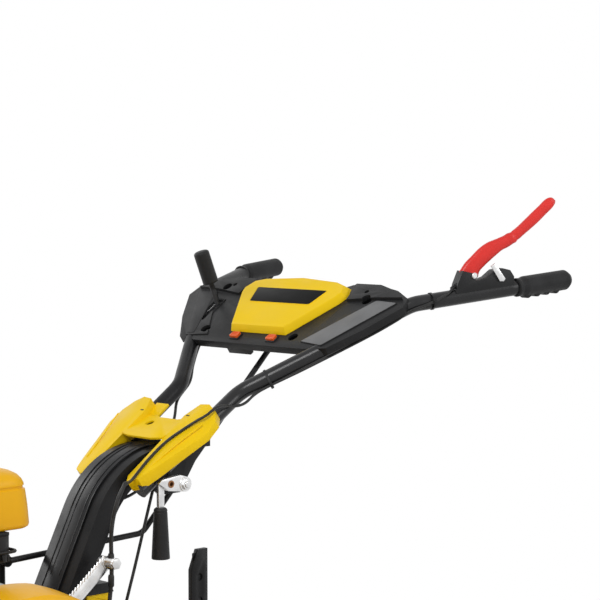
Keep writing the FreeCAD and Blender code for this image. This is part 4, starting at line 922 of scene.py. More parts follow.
class TILLER_OT_dress_levers(bpy.types.Operator):
    """Clutch lever with its pin, spring and cable adjuster, and the nuts, bush and collar of the clamp"""
    bl_idname = "tiller.dress_levers"
    bl_label = "Dress the levers"

    def execute(self, context):
        made("lever_pins", "zinc", "handlebar",
             [(pin, by_lever(-4, 6, -16.5), by_lever(-4, 6, 16.5), 5.2, 20, 1.4)])
        coil = [(radians(22.5 * i), -14.5 - 0.55 * i / 16) for i in range(81)]
        wire = [by_lever(-4 + 8.6 * cos(a), 6 + 8.6 * sin(a), off) for a, off in coil]
        made("return_spring", "steel", "handlebar", [(bent, wire + [by_lever(26, 22, -17.4)], 0.9, 8)])
        made("cable_adjuster", "black_paint", "handlebar",
             [(pin, CABLE_END - CABLE_WAY * 6, CABLE_END + CABLE_WAY * 16, 3.4, 16, 0.8),
              lathe(disc(4.8, 0, 4), CABLE_END + CABLE_WAY * 4, CABLE_WAY, 6),
              lathe(disc(4.8, 0, 3), CABLE_END + CABLE_WAY * 12, CABLE_WAY, 6)], 0.4, 1)
        self.clutch_lever()
        self.clamp()
        return {"FINISHED"}

    def clutch_lever(self):
        """Oval-sectioned lever with a collar about half way up."""
        count = 72
        upper = even_way([by_lever(a, b) for a, b in LEVER_UPPER], count)
        lower = even_way([by_lever(a, b) for a, b in LEVER_LOWER], count)
        sections = []
        for i, (u, v) in enumerate(zip(upper, lower)):
            share = i / (count - 1)
            collar = 0.09 * exp(-((share - 0.49) / 0.013) ** 2) - 0.10 * exp(-((share - 0.525) / 0.010) ** 2)
            thin = 1.0 - 0.18 * share - 0.7 * max(0.0, share - 0.96) / 0.04
            middle, half = (u + v) / 2, (u - v) / 2 * (1 + collar + 0.20 * max(0.0, 1 - 2 * share))
            side = CLUTCH_ACROSS * LEVER_HALF * thin * (1 + collar)
            section = []
            for a in circle(24):
                c, s = (copysign(abs(q) ** 0.82, q) for q in (cos(a), sin(a)))
                section.append(at(*(middle + half * c + side * s)))
            sections.append(section)
        lever = made("clutch_lever_form", "red_plastic", "handlebar", [(skin, sections)], sharp=60.0)
        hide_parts("clutch_lever")

    def clamp(self):
        y, z = TILT_Y, TILT_Z
        head = facing((CLAMP_FACE + 1.6, y, z), LEFTWARD)
        made("tilt_nuts", "zinc", "handlebar",
             [(turned, disc(9.5, 0, 4.2), head, 6),
              lathe(wall(6, 12, 0, 1.4), (CLAMP_FACE + 0.2, y, z), LEFTWARD, 28, True),
              (turned, [(0, 4.0), (5.6, 4.0), (5.6, 5.4), (4.6, 6.2), (0, 6.2)], head, 20),
              lathe(disc(11, 0, 7), (8 - CLAMP_FACE, y, z), RIGHTWARD, 6)], 0.5)
        made("clamp_bush", "zinc", "handlebar",
             [lathe(wall(3.6, 6.0, -0.8, 10.8), (CLAMP_FACE - 10, y - 30, z + 3), LEFTWARD, 24, True)],
             look="bush")
        made("clamp_grip_collar", "black_plastic", "handlebar",
             [lathe([(0, -1), (10.6, -1), (11.4, 1.5), (10.6, 4), (8.2, 6), (0, 6)],
                    (CLAMP_FACE - 6, y - 48, z - 40), UP, 28)])


# ------------------------------------------------------------------ cables
CLUTCH_GAP, THROTTLE_GAP = 17.0, 17.9       # from the middle of the tube to that of the cable
TIES = [(1, 0.16, 42), (2, 0.17, 94)]       # leg of the tube, share of the leg, turn round it in degrees
CLUTCH_ON_TUBE = [(2, 0.31, 128), (2, 0.22, 104), (2, 0.11, 82), (1, 0.97, 66), (1, 0.88, 50), (1, 0.70, 36),
                  (1, 0.36, 36), (1, 0.10, 44)]
CLUTCH_ON_LEAF = [(99, 552, 800), (98, 530, 796), (100, 505, 799), (105, 481, 798), (105, 459, 787),
                  (93, 445, 776.5), (80.3, 423, 761), (70, 399.4, 744), (67.9, 369, 722), (71, 345, 705),
                  (77, 324, 692), (86, 308, 689.5), (92, 300, 690)]
THROTTLE_ON_TUBE = [(1, 0.54, -60), (1, 0.44, -32), (1, 0.28, -28), (1, 0.10, -36)]
CROSSING = {            # node: (route, radius, where the frame's hold ends, where the handlebar's begins)
    "clutch_cable_lower": (
        [(92, 300, 690), (97, 291, 688), (96, 276, 660), (92, 268, 612), (92, 267, 530), (90, 250, 460),
         (82, 196, 418), (68, 150, 404)], 3.4, (92, 267, 570), (92, 290, 690)),
    "throttle_cable": (
        [(-80, 556, 790), (-62, 531, 756), (-46, 484, 690), (-41, 430, 648), (-40, 345, 622), (-40, 300, 560),
         (-44, 268, 470), (-52, 226, 424), (-59.5, 172, 409), (-62, 110, 414), (-70, 78, 436),
         (-70, 50.6, 436)],
        2.6, (-40, 300, 560), (-52, 505, 720)),
    "reverse_cable": (
        [(49, 398, 700), (49, 395, 678), (48, 388, 654), (48, 372, 604), (48, 345, 520), (47, 322, 456),
         (46, 292, 414), (42, 250, 396), (38, 212, 389)], 2.6, (48, 345, 520), (48, 384, 640)),
}


def band_round(bm, middle, way, bulges, width, thickness, steps=28):
    """Flat strap round a tube and what runs beside it; bulges are (offset, radius) discs to enclose."""
    place = facing(middle, way)
    section = ((0.1, -width / 2), (thickness, -width / 2), (thickness, width / 2), (0.1, width / 2))
    rings = []
    for a in circle(steps):
        out = Vector((cos(a), sin(a), 0))
        reach = max(Vector(offset).dot(out.xy) + radius for offset, radius in bulges)
        rings.append([bm.verts.new(place @ (out * (reach + t) + Vector((0, 0, h)))) for t, h in section])
    for a, b in zip(rings, rings[1:] + rings[:1]):
        for k in range(4):
            bm.faces.new((a[k], a[(k + 1) % 4], b[(k + 1) % 4], b[k]))


def beside_tube(leg, share, turn, gap, side):
    """Middle of a handlebar tube, its direction and the offset of a cable lying against it."""
    low, high = TUBE[leg], TUBE[leg + 1]
    way = (high - low).normalized()
    down = (Vector(DOWN) + way * way.z).normalized()
    out = down.cross(way)
    a = radians(turn)
    offset = (down * cos(a) + out * sin(a)) * gap
    middle = low.lerp(high, share)
    if side < 0:
        middle.x, way.x, offset.x = -middle.x, -way.x, -offset.x
    return middle, way, offset


def along_tube(holds, gap, side):
    """Middle line of a cable held against a handlebar tube."""
    held = [beside_tube(leg, share, turn, gap, side) for leg, share, turn in holds]
    return [middle + offset for middle, _, offset in held]


class TILLER_OT_dress_cables(bpy.types.Operator):
    """Ties, smooth sheaths, sleeves and boots of the control cables"""
    bl_idname = "tiller.dress_cables"
    bl_label = "Dress the cables"

    def execute(self, context):
        ties = []
        for leg, share, turn in TIES:
            middle, way, offset = beside_tube(leg, share, turn, CLUTCH_GAP, NEAR)
            turn_back = facing(middle, way).to_3x3().normalized().inverted()
            flat = (turn_back @ offset).xy
            lock = middle + offset.normalized() * (CLUTCH_GAP + 3.8)
            ties += [(band_round, middle, way, [((0, 0), TUBE_R + 0.2), (tuple(flat), 3.6)], 4.6, 1.3),
                     (box, (-2.2, -1.8, -2.6), (2.2, 1.8, 2.6), facing(lock, way))]
        made("cable_ties", "black_plastic", "handlebar", ties, 0.4, 1)

        route = [CABLE_END] + along_tube(CLUTCH_ON_TUBE, CLUTCH_GAP, NEAR) + CLUTCH_ON_LEAF
        cable = made("clutch_cable_sheath", "cable", "handlebar", [(bent, smooth_way(route, 150), 2.4, 10)])
        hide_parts("clutch_cable")
        for node, (route, radius, start, end) in CROSSING.items():
            if node == "throttle_cable":
                route = along_tube(THROTTLE_ON_TUBE, THROTTLE_GAP, FAR) + route
            cable = made(node + "_sheath", "cable", None,
                         [(bent, smooth_way(route, 14 * len(route)), radius, 10)])
            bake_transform(cable)
            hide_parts(node)

        sleeves = ((556, 22, 4.4), (528, 16, 4.2))      # foot, straight part and radius at the top
        made("lower_cable_sleeves", "cable", "chassis",
             [lathe([(0, 0), (4.6, 0), (5.0, 2), (5.0, tall), (top, tall + 3), (0, tall + 3)],
                    (92, 267, z), (0, 0.012, 1), 20) for z, tall, top in sleeves])
        ends = [((-70, 52, 436), BACKWARD), ((68, 152, 404.6), (0.3, 0.95, 0.1)),
                ((38, 213, 389.3), (0.1, 1, 0.15))]
        boot = [(3.2, 0), (6.8, 0), (6.8, 3), (5.8, 4), (6.4, 5.5), (5.2, 7), (5.8, 8.5), (4.6, 10),
                (5.0, 11.5), (3.0, 14)]
        made("cable_boots", "black_plastic", "chassis", [lathe(boot, *end, 20, True) for end in ends])
        return {"FINISHED"}


# ------------------------------------------------------------------ column, strap and depth bar
COLUMN_FOOT, COLUMN_LEAN = (155, 400), radians(63.4)
COLUMN_ARCH, COLUMN_ARCH_R = (428.5, 566.5), 170.4  # middle and radius of the arch at its front
# place across, radius, and first and last point along the column's front
COLUMN_RIDGES = [(-21, 1.0, 4, -1), (-11, 0.8, 6, -3), (11, 0.8, 6, -3), (21, 1.0, 4, -1)]
STRAP_BOLT = (267, 566)
DEPTH_PIN = (532, 412)


class TILLER_OT_dress_column(bpy.types.Operator):
    """Bolts, pressed ridges and strap bolt of the column"""
    bl_idname = "tiller.dress_column"
    bl_label = "Dress the column"

    def execute(self, context):
        sizes = context.scene.tiller_fittings
        rows = []
        for side in SIDES:
            rows += [(side * 45, y, z, (side, 0, 0)) for y, z in ((188, 428), (202, 462), (226, 446))]
            rows += [(side * 49.5, y, 412, UP) for y in (137, 194)]
        bolts("column_bolts", rows, "chassis", "zinc", sizes.bolt_radius * 0.62, sizes.bolt_height * 0.8,
              washer=sizes.bolt_radius * 0.8)
        foot_y, foot_z = COLUMN_FOOT
        front = [(foot_y + cos(COLUMN_LEAN) * run, foot_z + sin(COLUMN_LEAN) * run)
                 for run in range(60, 272, 16)]
        front += arc(COLUMN_ARCH, COLUMN_ARCH_R, map(radians, range(152, 92, -3)))
        made("column_ridges", "black_paint", "chassis",
             [(bent, [(x, y, z) for y, z in front[first:last]], radius, 8)
              for x, radius, first, last in COLUMN_RIDGES])
        made("strap_nut", "zinc", "chassis",
             [lathe(disc(9.6, 0, 5), (102, *STRAP_BOLT), LEFTWARD, 6),
              lathe(disc(10.8, 0, 1.4), (84, *STRAP_BOLT), LEFTWARD, 28)], 0.6)
        return {"FINISHED"}


class TILLER_OT_dress_depth_bar(bpy.types.Operator):
    """Locking pin, its ring and chain, a black sheet down the middle of the bar that paints shade into its
    holes, and the welds of its socket
    """
    bl_idname = "tiller.dress_depth_bar"
    bl_label = "Dress the depth bar"

    def execute(self, context):
        y, z = DEPTH_PIN
        ring = [(23, v, u) for u, v in arc((z - 12, y), 13, circle(28))]
        made("depth_pin", "zinc", "chassis",
             [(pin, (-26, y, z), (26, y, z), 5.2, 20, 1.2),
              lathe(disc(9.5, 0, 4), (12.1, y, z), LEFTWARD, 24), (bent, ring, 1.5, 8, True)], 0.3, 1)
        path = smooth_way([(23, y - 8, z - 22), (20, y - 20, z - 40), (16, y - 34, z - 36),
                           (13.2, y - 42, z - 22)], 15)
        oval = [(1.7 * cos(a), 0, 2.0 + 3.1 * sin(a)) for a in circle(12)]
        links = []
        for i, (a, b) in enumerate(zip(path, path[1:])):
            place = facing(a, (b - a).normalized()) @ Matrix.Rotation(radians(90 * (i % 2)), 4, "Z")
            links.append((bent, in_mm(place, oval), 0.6, 6, True))
        made("pin_chain", "zinc", "chassis", links)
        # thin black sheet down the middle of the bar: painted shade that fills its holes so they read dark
        made("depth_bar_core", "black_paint", "depth_bar", [(box, (-0.8, 519, 20), (0.8, 545, 536))], 0.3, 1)
        rows = [(x, 506.5, 349 + i * 2.8, (0, 0.1, 1)) for x in (12.1, -12.1) for i in range(16)]
        repeated("socket_welds", "weld_beads", rows, "chassis", "black_paint", {"Bead radius": 0.0034})
        return {"FINISHED"}


# ------------------------------------------------------------------ engine
CRANK = (0.0, -202.0, 489.0)
HEAD_WAY = Vector((-0.883, 0.0, 0.469))
HEAD_FACE = Vector((0, -30, 489)) + HEAD_WAY * 174
ROPE_X, ROPE_Z = 48, 572
PLUG = (-146, -84, 566)
PLUG_WAY = Vector((-0.35, -0.9, 0.25)).normalized()
TANK = (157.5, 116.6, -47.0)        # half width, half length and middle of the fuel tank
# inset and height of the tank's sections, with the pressed seam at half height
TANK_STEPS = [(9, 655), (3.5, 655.6), (0.9, 658), (0, 662), (1.5, 690), (3.4, 711), (3.8, 714), (5.8, 715.4),
              (5.8, 718), (4.6, 719.6), (5, 723), (7, 729), (11, 735), (18, 740), (28, 743.2), (42, 744.6),
              (58, 745)]
MUFFLER_X, MUFFLER_Z, MUFFLER_R = -188.0, 620.0, 32.0
MUFFLER_ENDS = (-105.0, 45.0)       # front and rear face
COVER_FORM = [(92, 0), (92, 4), (87, 6), (85, 20), (81, 32), (74, 40.5), (66, 43.8), (60, 43.8), (60, 41),
              (66, 40.4), (71, 37.5), (78, 29), (82, 19), (83, 6), (83, 0)]
HANDLE_FORM = [(0, -24), (6, -24), (8.4, -21), (8.8, -12), (7.0, -4), (7.0, 4), (8.8, 12), (8.4, 21), (6, 24),
               (0, 24)]
BOOT_FORM = [(6.5, 4), (9.5, 4), (9.5, 8), (8.2, 10), (8.2, 30), (9.0, 33), (7.0, 40), (4.6, 43), (0, 43),
             (0, 6), (6.5, 6)]
MUFFLER_END = [(0, 3), (14, 3.6), (24, 3), (29, 1.2), (32.6, 0.8), (33.2, -1), (33.2, -5), (32.0, -6),
               (0, -6)]


class TILLER_OT_dress_starter(bpy.types.Operator):
    """Slatted recoil cover with its hub, pull handle and bolts"""
    bl_idname = "tiller.dress_starter"
    bl_label = "Dress the recoil starter"

    def execute(self, context):
        place = facing(CRANK, FORWARD)
        shell = made("recoil_cover", "engine_black", "chassis",
                     [(turned, COVER_FORM, place, 72, True),
                      (turned, [(0, 43), (8, 43), (10, 44), (20, 44), (25, 42), (26, 36), (20, 33), (0, 33)],
                       place, 48)], 0.6)
        inner = made("starter_pulley", "steel", "chassis",
                     [(turned, disc(79, 26, 28.5), place, 48),
                      (turned, [(0, 28), (34, 28), (38, 31), (34, 34), (0, 34)], place, 40)])
        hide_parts("recoil_starter")
        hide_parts("recoil_starter")
        x, y, z = CRANK
        bars("recoil_slats", round_rows((x, y - 41.5, z), 42.5, 40), "chassis", "engine_black",
             0.037, 0.0030, 0.0030, 0.4)
        bars("recoil_fins", round_rows((x, y - 20, z), 85.0, 48, way=FORWARD), "chassis", "engine_black",
             0.022, 0.0024, 0.0024, 0.3)
        bolts("starter_bolts", round_rows(CRANK, 94.5, 6, 30, FORWARD), "chassis", "zinc", 0.0048, 0.004, 0.4,
              washer=0.0058)
        made("pull_handle", "black_plastic", "chassis",
             [lathe(HANDLE_FORM, (ROPE_X, -232, ROPE_Z), (1, 0, 0.08), 28),
              lathe([(0, 0), (5.6, 0), (5.0, 14), (4.0, 20), (0, 20)], (ROPE_X, -226, ROPE_Z), BACKWARD, 20)])
        made("rope_guide", "steel", "chassis",
             [lathe([(3.2, 0), (8.5, 0), (9.5, 2), (9.0, 6), (3.2, 6)],
                    (ROPE_X, -201, ROPE_Z), FORWARD, 24, True),
              lathe(disc(2.2, 0, 26), (ROPE_X, -196, ROPE_Z), FORWARD, 12)])
        return {"FINISHED"}


class TILLER_OT_dress_engine(bpy.types.Operator):
    """Rounded tank, spark plug, carburettor, air cleaner, fuel line, filler and bolts of the engine"""
    bl_idname = "tiller.dress_engine"
    bl_label = "Dress the engine"

    def execute(self, context):
        self.tank()
        self.plug()
        self.intake()
        self.fuel_and_oil()
        self.heads(context.scene.tiller_fittings)
        return {"FINISHED"}

    def tank(self):
        half_x, half_y, middle = TANK
        sections = []
        for inset, z in TANK_STEPS:
            a, b = half_x - inset, half_y - inset
            outline = rounded(rect(-a, -b, a, b), 26 + 0.5 * inset, 7)
            sections.append([at(x, y + middle, z) for x, y in outline])
        tank = made("tank_form", "yellow_paint", "chassis",
                    [(skin, sections), (box, (-60, -100, 590), (60, 40, 656))])
        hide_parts("fuel_tank")

    def plug(self):
        place = facing(PLUG, PLUG_WAY)
        made("plug_nut", "zinc", "chassis", [(turned, disc(10, -6, 5), place, 6)], 0.8)
        tip = Vector(PLUG) + PLUG_WAY * 40
        lead = [tip - PLUG_WAY * 8, tip, tip + Vector((4, -8, 12)), (-134, -138, 606), (-104, -148, 606),
                (-84, -130, 580), (-76, -112, 556)]
        made("plug_boot_and_lead", "cable", "chassis",
             [(turned, BOOT_FORM, place, 28), (bent, smooth_way(lead, 44), 3.4, 12)])

    def intake(self):
        made("carburettor", "alloy", "chassis",
             [(box, (88, -92, 560), (134, -24, 612)),
              lathe([(0, 0), (20, 0), (22, 3), (22, 20), (17, 26), (10, 29), (0, 29)],
                    (112, -58, 562), DOWN, 36),
              lathe(disc(7, 0, 6), (112, -58, 533), DOWN, 6)], 2.0, 3)
        top = facing((119, -43, 648), UP)
        rim = rounded(rect(70.5, -117.5, 167.5, 31.5), 14, 5)
        made("air_cleaner_trim", "black_plastic", "chassis",
             [(turned, [(0, 0), (19, 0), (21, 2), (21, 4), (17, 6), (0, 6)], top, 40),
              (turned, [(0, 5), (6, 5), (7, 8), (7, 14), (5, 17), (0, 17)], top, 6),
              (bent, [(x, y, 626) for x, y in rim], 2.4, 8, True)])
        vents = [(169.0, y, 618, UP) for y in range(-96, 20, 9)]
        bars("air_cleaner_vents", vents, "chassis", "black_plastic", 0.010, 0.003, 0.004, 0.5)
        clips = []
        for y in (-70, -16):
            clips += [(box, (166, y - 7, 630), (169.5, y + 7, 646)),
                      (box, (168, y - 5, 622), (171.0, y + 5, 640))]
        made("air_cleaner_clips", "zinc", "chassis", clips, 0.7)

    def fuel_and_oil(self):
        hose = [(60, -60, 656), (62, -62, 640), (72, -62, 612), (84, -60, 592), (92, -58, 584)]
        made("fuel_hose", "cable", "chassis", [(bent, smooth_way(hose, 30), 3.6, 12)])
        made("fuel_tap", "alloy", "chassis",
             [lathe([(0, 0), (7, 0), (7, 8), (5, 10), (5, 16), (0, 16)], (60, -60, 658), DOWN, 20),
              lathe([(0, 0), (3, 0), (3, 16), (5, 17), (5, 22), (0, 22)], (60, -62, 650), FORWARD, 16)],
             0.5)
        filler = facing((84, -80, 424), (0.8, 0, 0.6))
        made("oil_filler", "black_plastic", "chassis",
             [(turned, [(0, -4), (14, -4), (14, 6), (11, 8), (0, 8)], filler, 32),
              (turned, disc(4, 7, 16), filler, 12)], 1.0)
        made("oil_drain", "steel", "chassis",
             [lathe(disc(9, 0, 7), (82, 20, 400), LEFTWARD, 6),
              lathe(disc(12, 0, 1.6), (81.5, 20, 400), LEFTWARD, 28)], 0.6, 1)

    def heads(self, sizes):
        rows = [(s * 93, y, 385, UP) for s in SIDES for y in (-80, 20)]
        rows += [(s * 82, y, z, (s, 0, 0)) for s in SIDES
                 for y, z in ((-96, 404), (-96, 570), (38, 570), (38, 404))]
        across = HEAD_WAY.cross(Vector(BACKWARD)).normalized()
        rows += [(*(HEAD_FACE + Vector((0, a, 0)) + across * b), tuple(HEAD_WAY))
                 for b in (-30, 30) for a in (-30, 30)]
        bolts("engine_bolts", rows, "chassis", "zinc", sizes.bolt_radius * 0.85, sizes.bolt_height)
        ribs = round_rows((-70, -47, 757), 31.4, 30, way=UP, axis="z")
        bars("cap_ribs", ribs, "chassis", "black_plastic", 0.016, 0.0026, 0.0026, 0.6)


class TILLER_OT_dress_muffler(bpy.types.Operator):
    """End caps, tail pipe and barred heat guard of the muffler"""
    bl_idname = "tiller.dress_muffler"
    bl_label = "Dress the muffler"

    def execute(self, context):
        x, z, (y0, y1) = MUFFLER_X, MUFFLER_Z, MUFFLER_ENDS
        made("muffler_ends", "exhaust", "chassis",
             [lathe(MUFFLER_END, (x, y, z), way, 48) for y, way in ((y0, FORWARD), (y1, BACKWARD))])
        made("tail_pipe", "exhaust", "chassis",
             [lathe([(7.5, -6), (9, -6), (9, 16), (9, 24), (7.5, 24)],
                    (x, y0 + 2, z + 6), (-0.35, -1, 0.1), 28, True)])
        turns = [radians(a) for a in range(15, 206, 10)]
        rows = [(u, (y0 + y1) / 2, v, BACKWARD) for u, v in arc((x, z), MUFFLER_R + 6, turns)]
        bars("muffler_guard_bars", rows, "chassis", "engine_black", 0.138, 0.0052, 0.0022, 0.4)
        outline = arc((0, 0), MUFFLER_R + 4.6, turns) + arc((0, 0), MUFFLER_R + 7.6, turns[::-1])
        made("muffler_hoops", "engine_black", "chassis",
             [(slab, outline, -6, 0, standing((x, y - 3, z), 90)) for y in (y0 + 8, -30, y1 - 8)], 0.5, 1)
        return {"FINISHED"}


# ------------------------------------------------------------------ gear case, wheels and rotor
GEAR_CASE_SPOTS = [(-70, 214), (-10, 190), (60, 190), (120, 192), (182, 300), (195, 372), (-75, 330),
                   (60, 330)]
FLANGE_X, FLANGE_BOLTS_R = 76, 48    # axle flange of the gear case; rims use the same bolt circle
VALVE_TURN, VALVE_R = radians(128), 92
VALVE_FORM = [(0, -6), (5.5, -6), (5.5, 2), (4, 4), (3, 16), (4.2, 17), (4.2, 27), (3, 28), (0, 28)]
HAIR_EVERY = 7                      # every seventh face of the tyre's mesh may bear one
TREAD_R, CLEAR_OF_FLOOR = 0.236, 0.05
TINE_FACES = [(32, 1), (32, -1), (104, 1), (104, -1), (176, -1)]    # plate's place and the side it faces
PLATE_HALF = 3.5


class TILLER_OT_dress_gear_case(bpy.types.Operator):
    """Cover bolts, plugs and seals of the gear case and the clutch housing"""
    bl_idname = "tiller.dress_gear_case"
    bl_label = "Dress the gear case"

    def execute(self, context):
        sizes = context.scene.tiller_fittings
        rows = [(s * 60, y, z, (s, 0, 0)) for s in SIDES for y, z in GEAR_CASE_SPOTS]
        for s in SIDES:
            rows += round_rows((s * FLANGE_X, 0, WHEEL_R), FLANGE_BOLTS_R, 6, 30, (s, 0, 0), "x")
        bolts("gear_case_bolts", rows, "chassis", "steel", sizes.bolt_radius * 0.9, sizes.bolt_height)
        seal = [(16, 0), (27, 0), (28, 2), (24, 6), (17, 7), (16, 5)]
        made("axle_seals", "cable", "chassis",
             [lathe(seal, (s * FLANGE_X, 0, WHEEL_R), (s, 0, 0), 40, True) for s in SIDES])
        filler = facing((-60, 40, 290), RIGHTWARD)
        made("gear_case_plugs", "zinc", "chassis",
             [(turned, disc(10, -2, 8), filler, 6), (turned, disc(14, -2, 2), filler, 32),
              lathe(disc(9, -2, 6), (60, 20, 222), LEFTWARD, 6)], 0.7)
        return {"FINISHED"}


class TILLER_OT_dress_wheels(bpy.types.Operator):
    """Rim bolts, hub nuts, valves and moulding hairs of the drive wheels"""
    bl_idname = "tiller.dress_wheels"
    bl_label = "Dress the wheels"

    def execute(self, context):
        sizes = context.scene.tiller_fittings
        rows = []
        for s in SIDES:
            rows += round_rows((s * 276.5, 0, WHEEL_R), FLANGE_BOLTS_R, 5, 90, (s, 0, 0), "x")
        bolts("rim_bolts", rows, "drive_wheels", "zinc", sizes.bolt_radius, sizes.bolt_height * 1.2, 0.6)
        nuts, valves = [], []
        c, t = cos(VALVE_TURN), sin(VALVE_TURN)
        for s in SIDES:
            way = (s, 0, 0)
            nuts += [lathe(wall(15, 21, 0, 9), (s * 306.5, 0, WHEEL_R), way, 6),
                     lathe(wall(15, 23, -0.5, 1.2), (s * 306.0, 0, WHEEL_R), way, 32, True),
                     lathe([(0, -4), (15.2, -4), (15.2, 0.4), (13, 1.4), (0, 1.4)],
                           (s * 317.6, 0, WHEEL_R), way, 32)]
            spot = (s * 286, VALVE_R * c, WHEEL_R + VALVE_R * t)
            valves.append(lathe(VALVE_FORM, spot, (s, -0.15 * c, -0.15 * t), 16))
        made("axle_nuts", "zinc", "drive_wheels", nuts, 0.7)
        made("tyre_valves", "cable", "drive_wheels", valves)
        self.hairs(sizes.hair_length)
        return {"FINISHED"}

    def hairs(self, length):
        """Hairs on every few faces of the tread, found on the tyres themselves."""
        rows = []
        for node in ("tyre_left", "tyre_right"):
            for i, face in enumerate(frame["nodes"][node].data.polygons):
                x, y, z = face.center
                out = Vector((0.0, y - AXLE_Y * MM, z - WHEEL_R * MM))
                proud = out.length >= TREAD_R and face.normal.dot(out.normalized()) >= 0.6
                if i % HAIR_EVERY == 0 and proud and z >= CLEAR_OF_FLOOR:
                    rows.append((x / MM, y / MM - AXLE_Y, z / MM, tuple(face.normal)))
        repeated("tyre_hairs", "moulding_hairs", rows, "drive_wheels", "tyre", {
            "Length": length, "Root radius": 0.0005})


class TILLER_OT_dress_rotor(bpy.types.Operator):
    """Flange bolts of the tine rotor"""
    bl_idname = "tiller.dress_rotor"
    bl_label = "Dress the rotor"

    def execute(self, context):
        sizes = context.scene.tiller_fittings
        rows = []
        for s in SIDES:
            for x, way in TINE_FACES:
                middle = (s * (x + PLATE_HALF * way), ROTOR_Y, ROTOR_Z)
                rows += round_rows(middle, 42, 4, 75, (s * way, 0, 0), "x")
        bolts("tine_bolts", rows, "rotor", "steel", sizes.bolt_radius * 0.85, sizes.bolt_height)
        return {"FINISHED"}


# ------------------------------------------------------------------ sheet metal
def edge_rolls(name, x, middle, radius, thickness, turns):
    """Round edgings along an arc at both sides of the machine."""
    made(name, "yellow_paint", "chassis",
         [(bent, [(s * x, y, z) for y, z in arc(middle, radius, map(radians, turns))], thickness, 10)
          for s in SIDES])


class TILLER_OT_dress_sheets(bpy.types.Operator):
    """Rolled edges, bolts and welds of the fenders, the hood, the rear cover and the bumper"""
    bl_idname = "tiller.dress_sheets"
    bl_label = "Dress the sheet metal"

    def execute(self, context):
        sizes = context.scene.tiller_fittings
        edge_rolls("fender_edge_rolls", 341.0, (0, WHEEL_R), 278.0, 2.6, range(151, 32, -3))
        edge_rolls("hood_edge_beads", 191.0, (ROTOR_Y, ROTOR_Z), 175.0, 2.4, range(4, 152, 4))
        rows = [(s * 30, y, 343, UP) for s in SIDES for y in (222, 290)]
        bolts("sheet_bolts", rows, "chassis", "zinc", sizes.bolt_radius * 0.9, sizes.bolt_height * 0.9)
        rows = [(s * 36, y, z, (s, 0, 0)) for s in SIDES for z in (404, 480) for y in (272, 304)]
        bolts("rear_cover_screws", rows, "chassis", "zinc", sizes.screw_radius * 0.8, 0.002, sides=20,
              washer=sizes.screw_radius, flat=0.0008)
        rows = [(s * 84 + 13.6 * cos(a), -378, 365 + 13.6 * sin(a), (-sin(a), 0, cos(a)))
                for s in SIDES for a in circle(22)]
        repeated("bumper_welds", "weld_beads", rows, "chassis", "black_paint",
                 {"Bead radius": sizes.weld_radius})
        return {"FINISHED"}


# ------------------------------------------------------------------ studio
def add_lamp(name, place, aim, size, power):
    data = bpy.data.lights.new(name, "AREA")
    data.shape = "RECTANGLE"
    data.size = data.size_y = size
    data.energy = power
    lamp = bpy.data.objects.new(name, data)
    lamp.location = place
    lamp.rotation_euler = (Vector(aim) - Vector(place)).to_track_quat("-Z", "Y").to_euler()
    bpy.context.scene.collection.objects.link(lamp)


def seen_directly(tree):
    """1 for rays that come from the camera, from a reflection or through glass."""
    path = geo(tree, "ShaderNodeLightPath").outputs
    seen = maths(tree, "MAXIMUM", path["Is Camera Ray"], path["Is Glossy Ray"])
    return maths(tree, "MAXIMUM", seen, path["Is Transmission Ray"])


def whitened(tree, kind, share, base, end):
    """Lay a share of plain white over a base shader."""
    white = geo(tree, "ShaderNode" + kind, {"Color": grey(1.0)})
    mix = geo(tree, "ShaderNodeMixShader", {0: share, 1: base, 2: white.outputs[0]})
    tree.links.new(mix.outputs[0], tree.nodes[end].inputs["Surface"])


def floor_finish():
    """Matt floor that fades to plain white away from the machine where it is seen directly."""
    material = plain_shader("floor_white", grey(0.86), 0.8)
    tree = material.node_tree
    where = geo(tree, "ShaderNodeTexCoord")
    far = geo(tree, "ShaderNodeVectorMath", {0: where.outputs["Object"]}, operation="LENGTH")
    spread = geo(tree, "ShaderNodeMapRange", {
        "Value": far.outputs["Value"], "From Min": 0.7, "From Max": 1.7})
    share = maths(tree, "MULTIPLY", spread.outputs["Result"], seen_directly(tree))
    whitened(tree, "Emission", share, tree.nodes["Principled BSDF"].outputs[0], "Material Output")
    return material


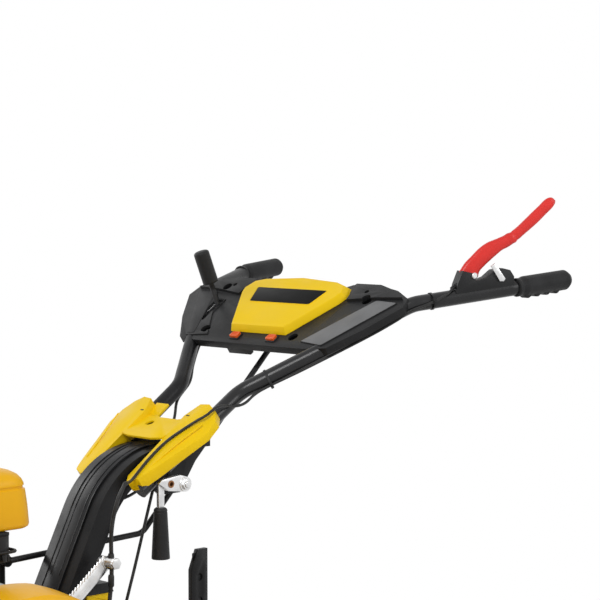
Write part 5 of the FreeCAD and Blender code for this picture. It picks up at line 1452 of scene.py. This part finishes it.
class TILLER_OT_build_stage(bpy.types.Operator):
    """Lay the floor, set the lamps, the sky and the camera"""
    bl_idname = "tiller.build_stage"
    bl_label = "Build the studio"

    def execute(self, context):
        scene = context.scene
        sizes = scene.tiller_stage
        half = sizes.floor_size / 2
        mesh = bpy.data.meshes.new("studio_floor")
        mesh.from_pydata([(x, y, 0) for x, y in rect(-half, -half, half, half)], [], [(0, 1, 2, 3)])
        floor = bpy.data.objects.new("studio_floor", mesh)
        scene.collection.objects.link(floor)
        mesh.materials.append(floor_finish())

        scene.world = bpy.data.worlds.new("studio_sky")
        scene.world.use_nodes = True
        tree = scene.world.node_tree
        sky = tree.nodes["Background"]
        sky.inputs["Color"].default_value = grey(1.0)
        sky.inputs["Strength"].default_value = sizes.sky_level
        whitened(tree, "Background", seen_directly(tree), sky.outputs[0], "World Output")

        add_lamp("key_lamp", (1.6, -2.6, 3.2), (0, 0, 0.6), 1.6, sizes.key_power)
        add_lamp("left_lamp", (3.0, 1.4, 2.2), (0, 0, 0.7), 1.4, sizes.fill_power)
        add_lamp("right_lamp", (-2.8, -0.6, 2.0), (0, 0, 0.6), 1.4, sizes.fill_power)

        data = bpy.data.cameras.new("studio_camera")
        data.lens = 120.0
        data.sensor_width = 36.0
        camera = bpy.data.objects.new("studio_camera", data)
        camera.location = (2.553, -2.05475, 1.172)
        camera.rotation_euler = (radians(86.59), 0.0, radians(45.66))
        scene.collection.objects.link(camera)
        scene.camera = camera
        scene.view_settings.view_transform = "Standard"
        return {"FINISHED"}


# ------------------------------------------------------------------ add-on
class TILLER_PT_sidebar(bpy.types.Panel):
    """Lists the dressing steps."""
    bl_idname = "TILLER_PT_sidebar"
    bl_label = "Garden tiller"
    bl_space_type = "VIEW_3D"
    bl_region_type = "UI"
    bl_category = "Tiller"

    def draw(self, context):
        for operator in OPERATORS:
            self.layout.operator(operator.bl_idname)
        for name in GROUPS:
            group = getattr(context.scene, name)
            for setting in group.__annotations__:
                self.layout.prop(group, setting)


GROUPS = {"tiller_colours": TillerColours, "tiller_fittings": TillerFittings, "tiller_stage": TillerStage}
OPERATORS = (
    TILLER_OT_finish_nodes, TILLER_OT_ease_edges, TILLER_OT_mould_handles, TILLER_OT_dress_console,
    TILLER_OT_dress_wing_cover, TILLER_OT_dress_levers, TILLER_OT_dress_cables, TILLER_OT_dress_column,
    TILLER_OT_dress_depth_bar, TILLER_OT_dress_starter, TILLER_OT_dress_engine, TILLER_OT_dress_muffler,
    TILLER_OT_dress_gear_case, TILLER_OT_dress_wheels, TILLER_OT_dress_rotor, TILLER_OT_dress_sheets,
    TILLER_OT_build_stage)
CLASSES = (*GROUPS.values(), *OPERATORS, TILLER_PT_sidebar)


def register():
    for cls in CLASSES:
        bpy.utils.register_class(cls)
    for name, cls in GROUPS.items():
        setattr(bpy.types.Scene, name, bpy.props.PointerProperty(type=cls))


def unregister():
    for name in GROUPS:
        delattr(bpy.types.Scene, name)
    for cls in reversed(CLASSES):
        bpy.utils.unregister_class(cls)


def main():
    register()
    for operator in OPERATORS:
        group, name = operator.bl_idname.split(".")
        getattr(getattr(bpy.ops, group), name)()


if __name__ == "__main__":
    main()
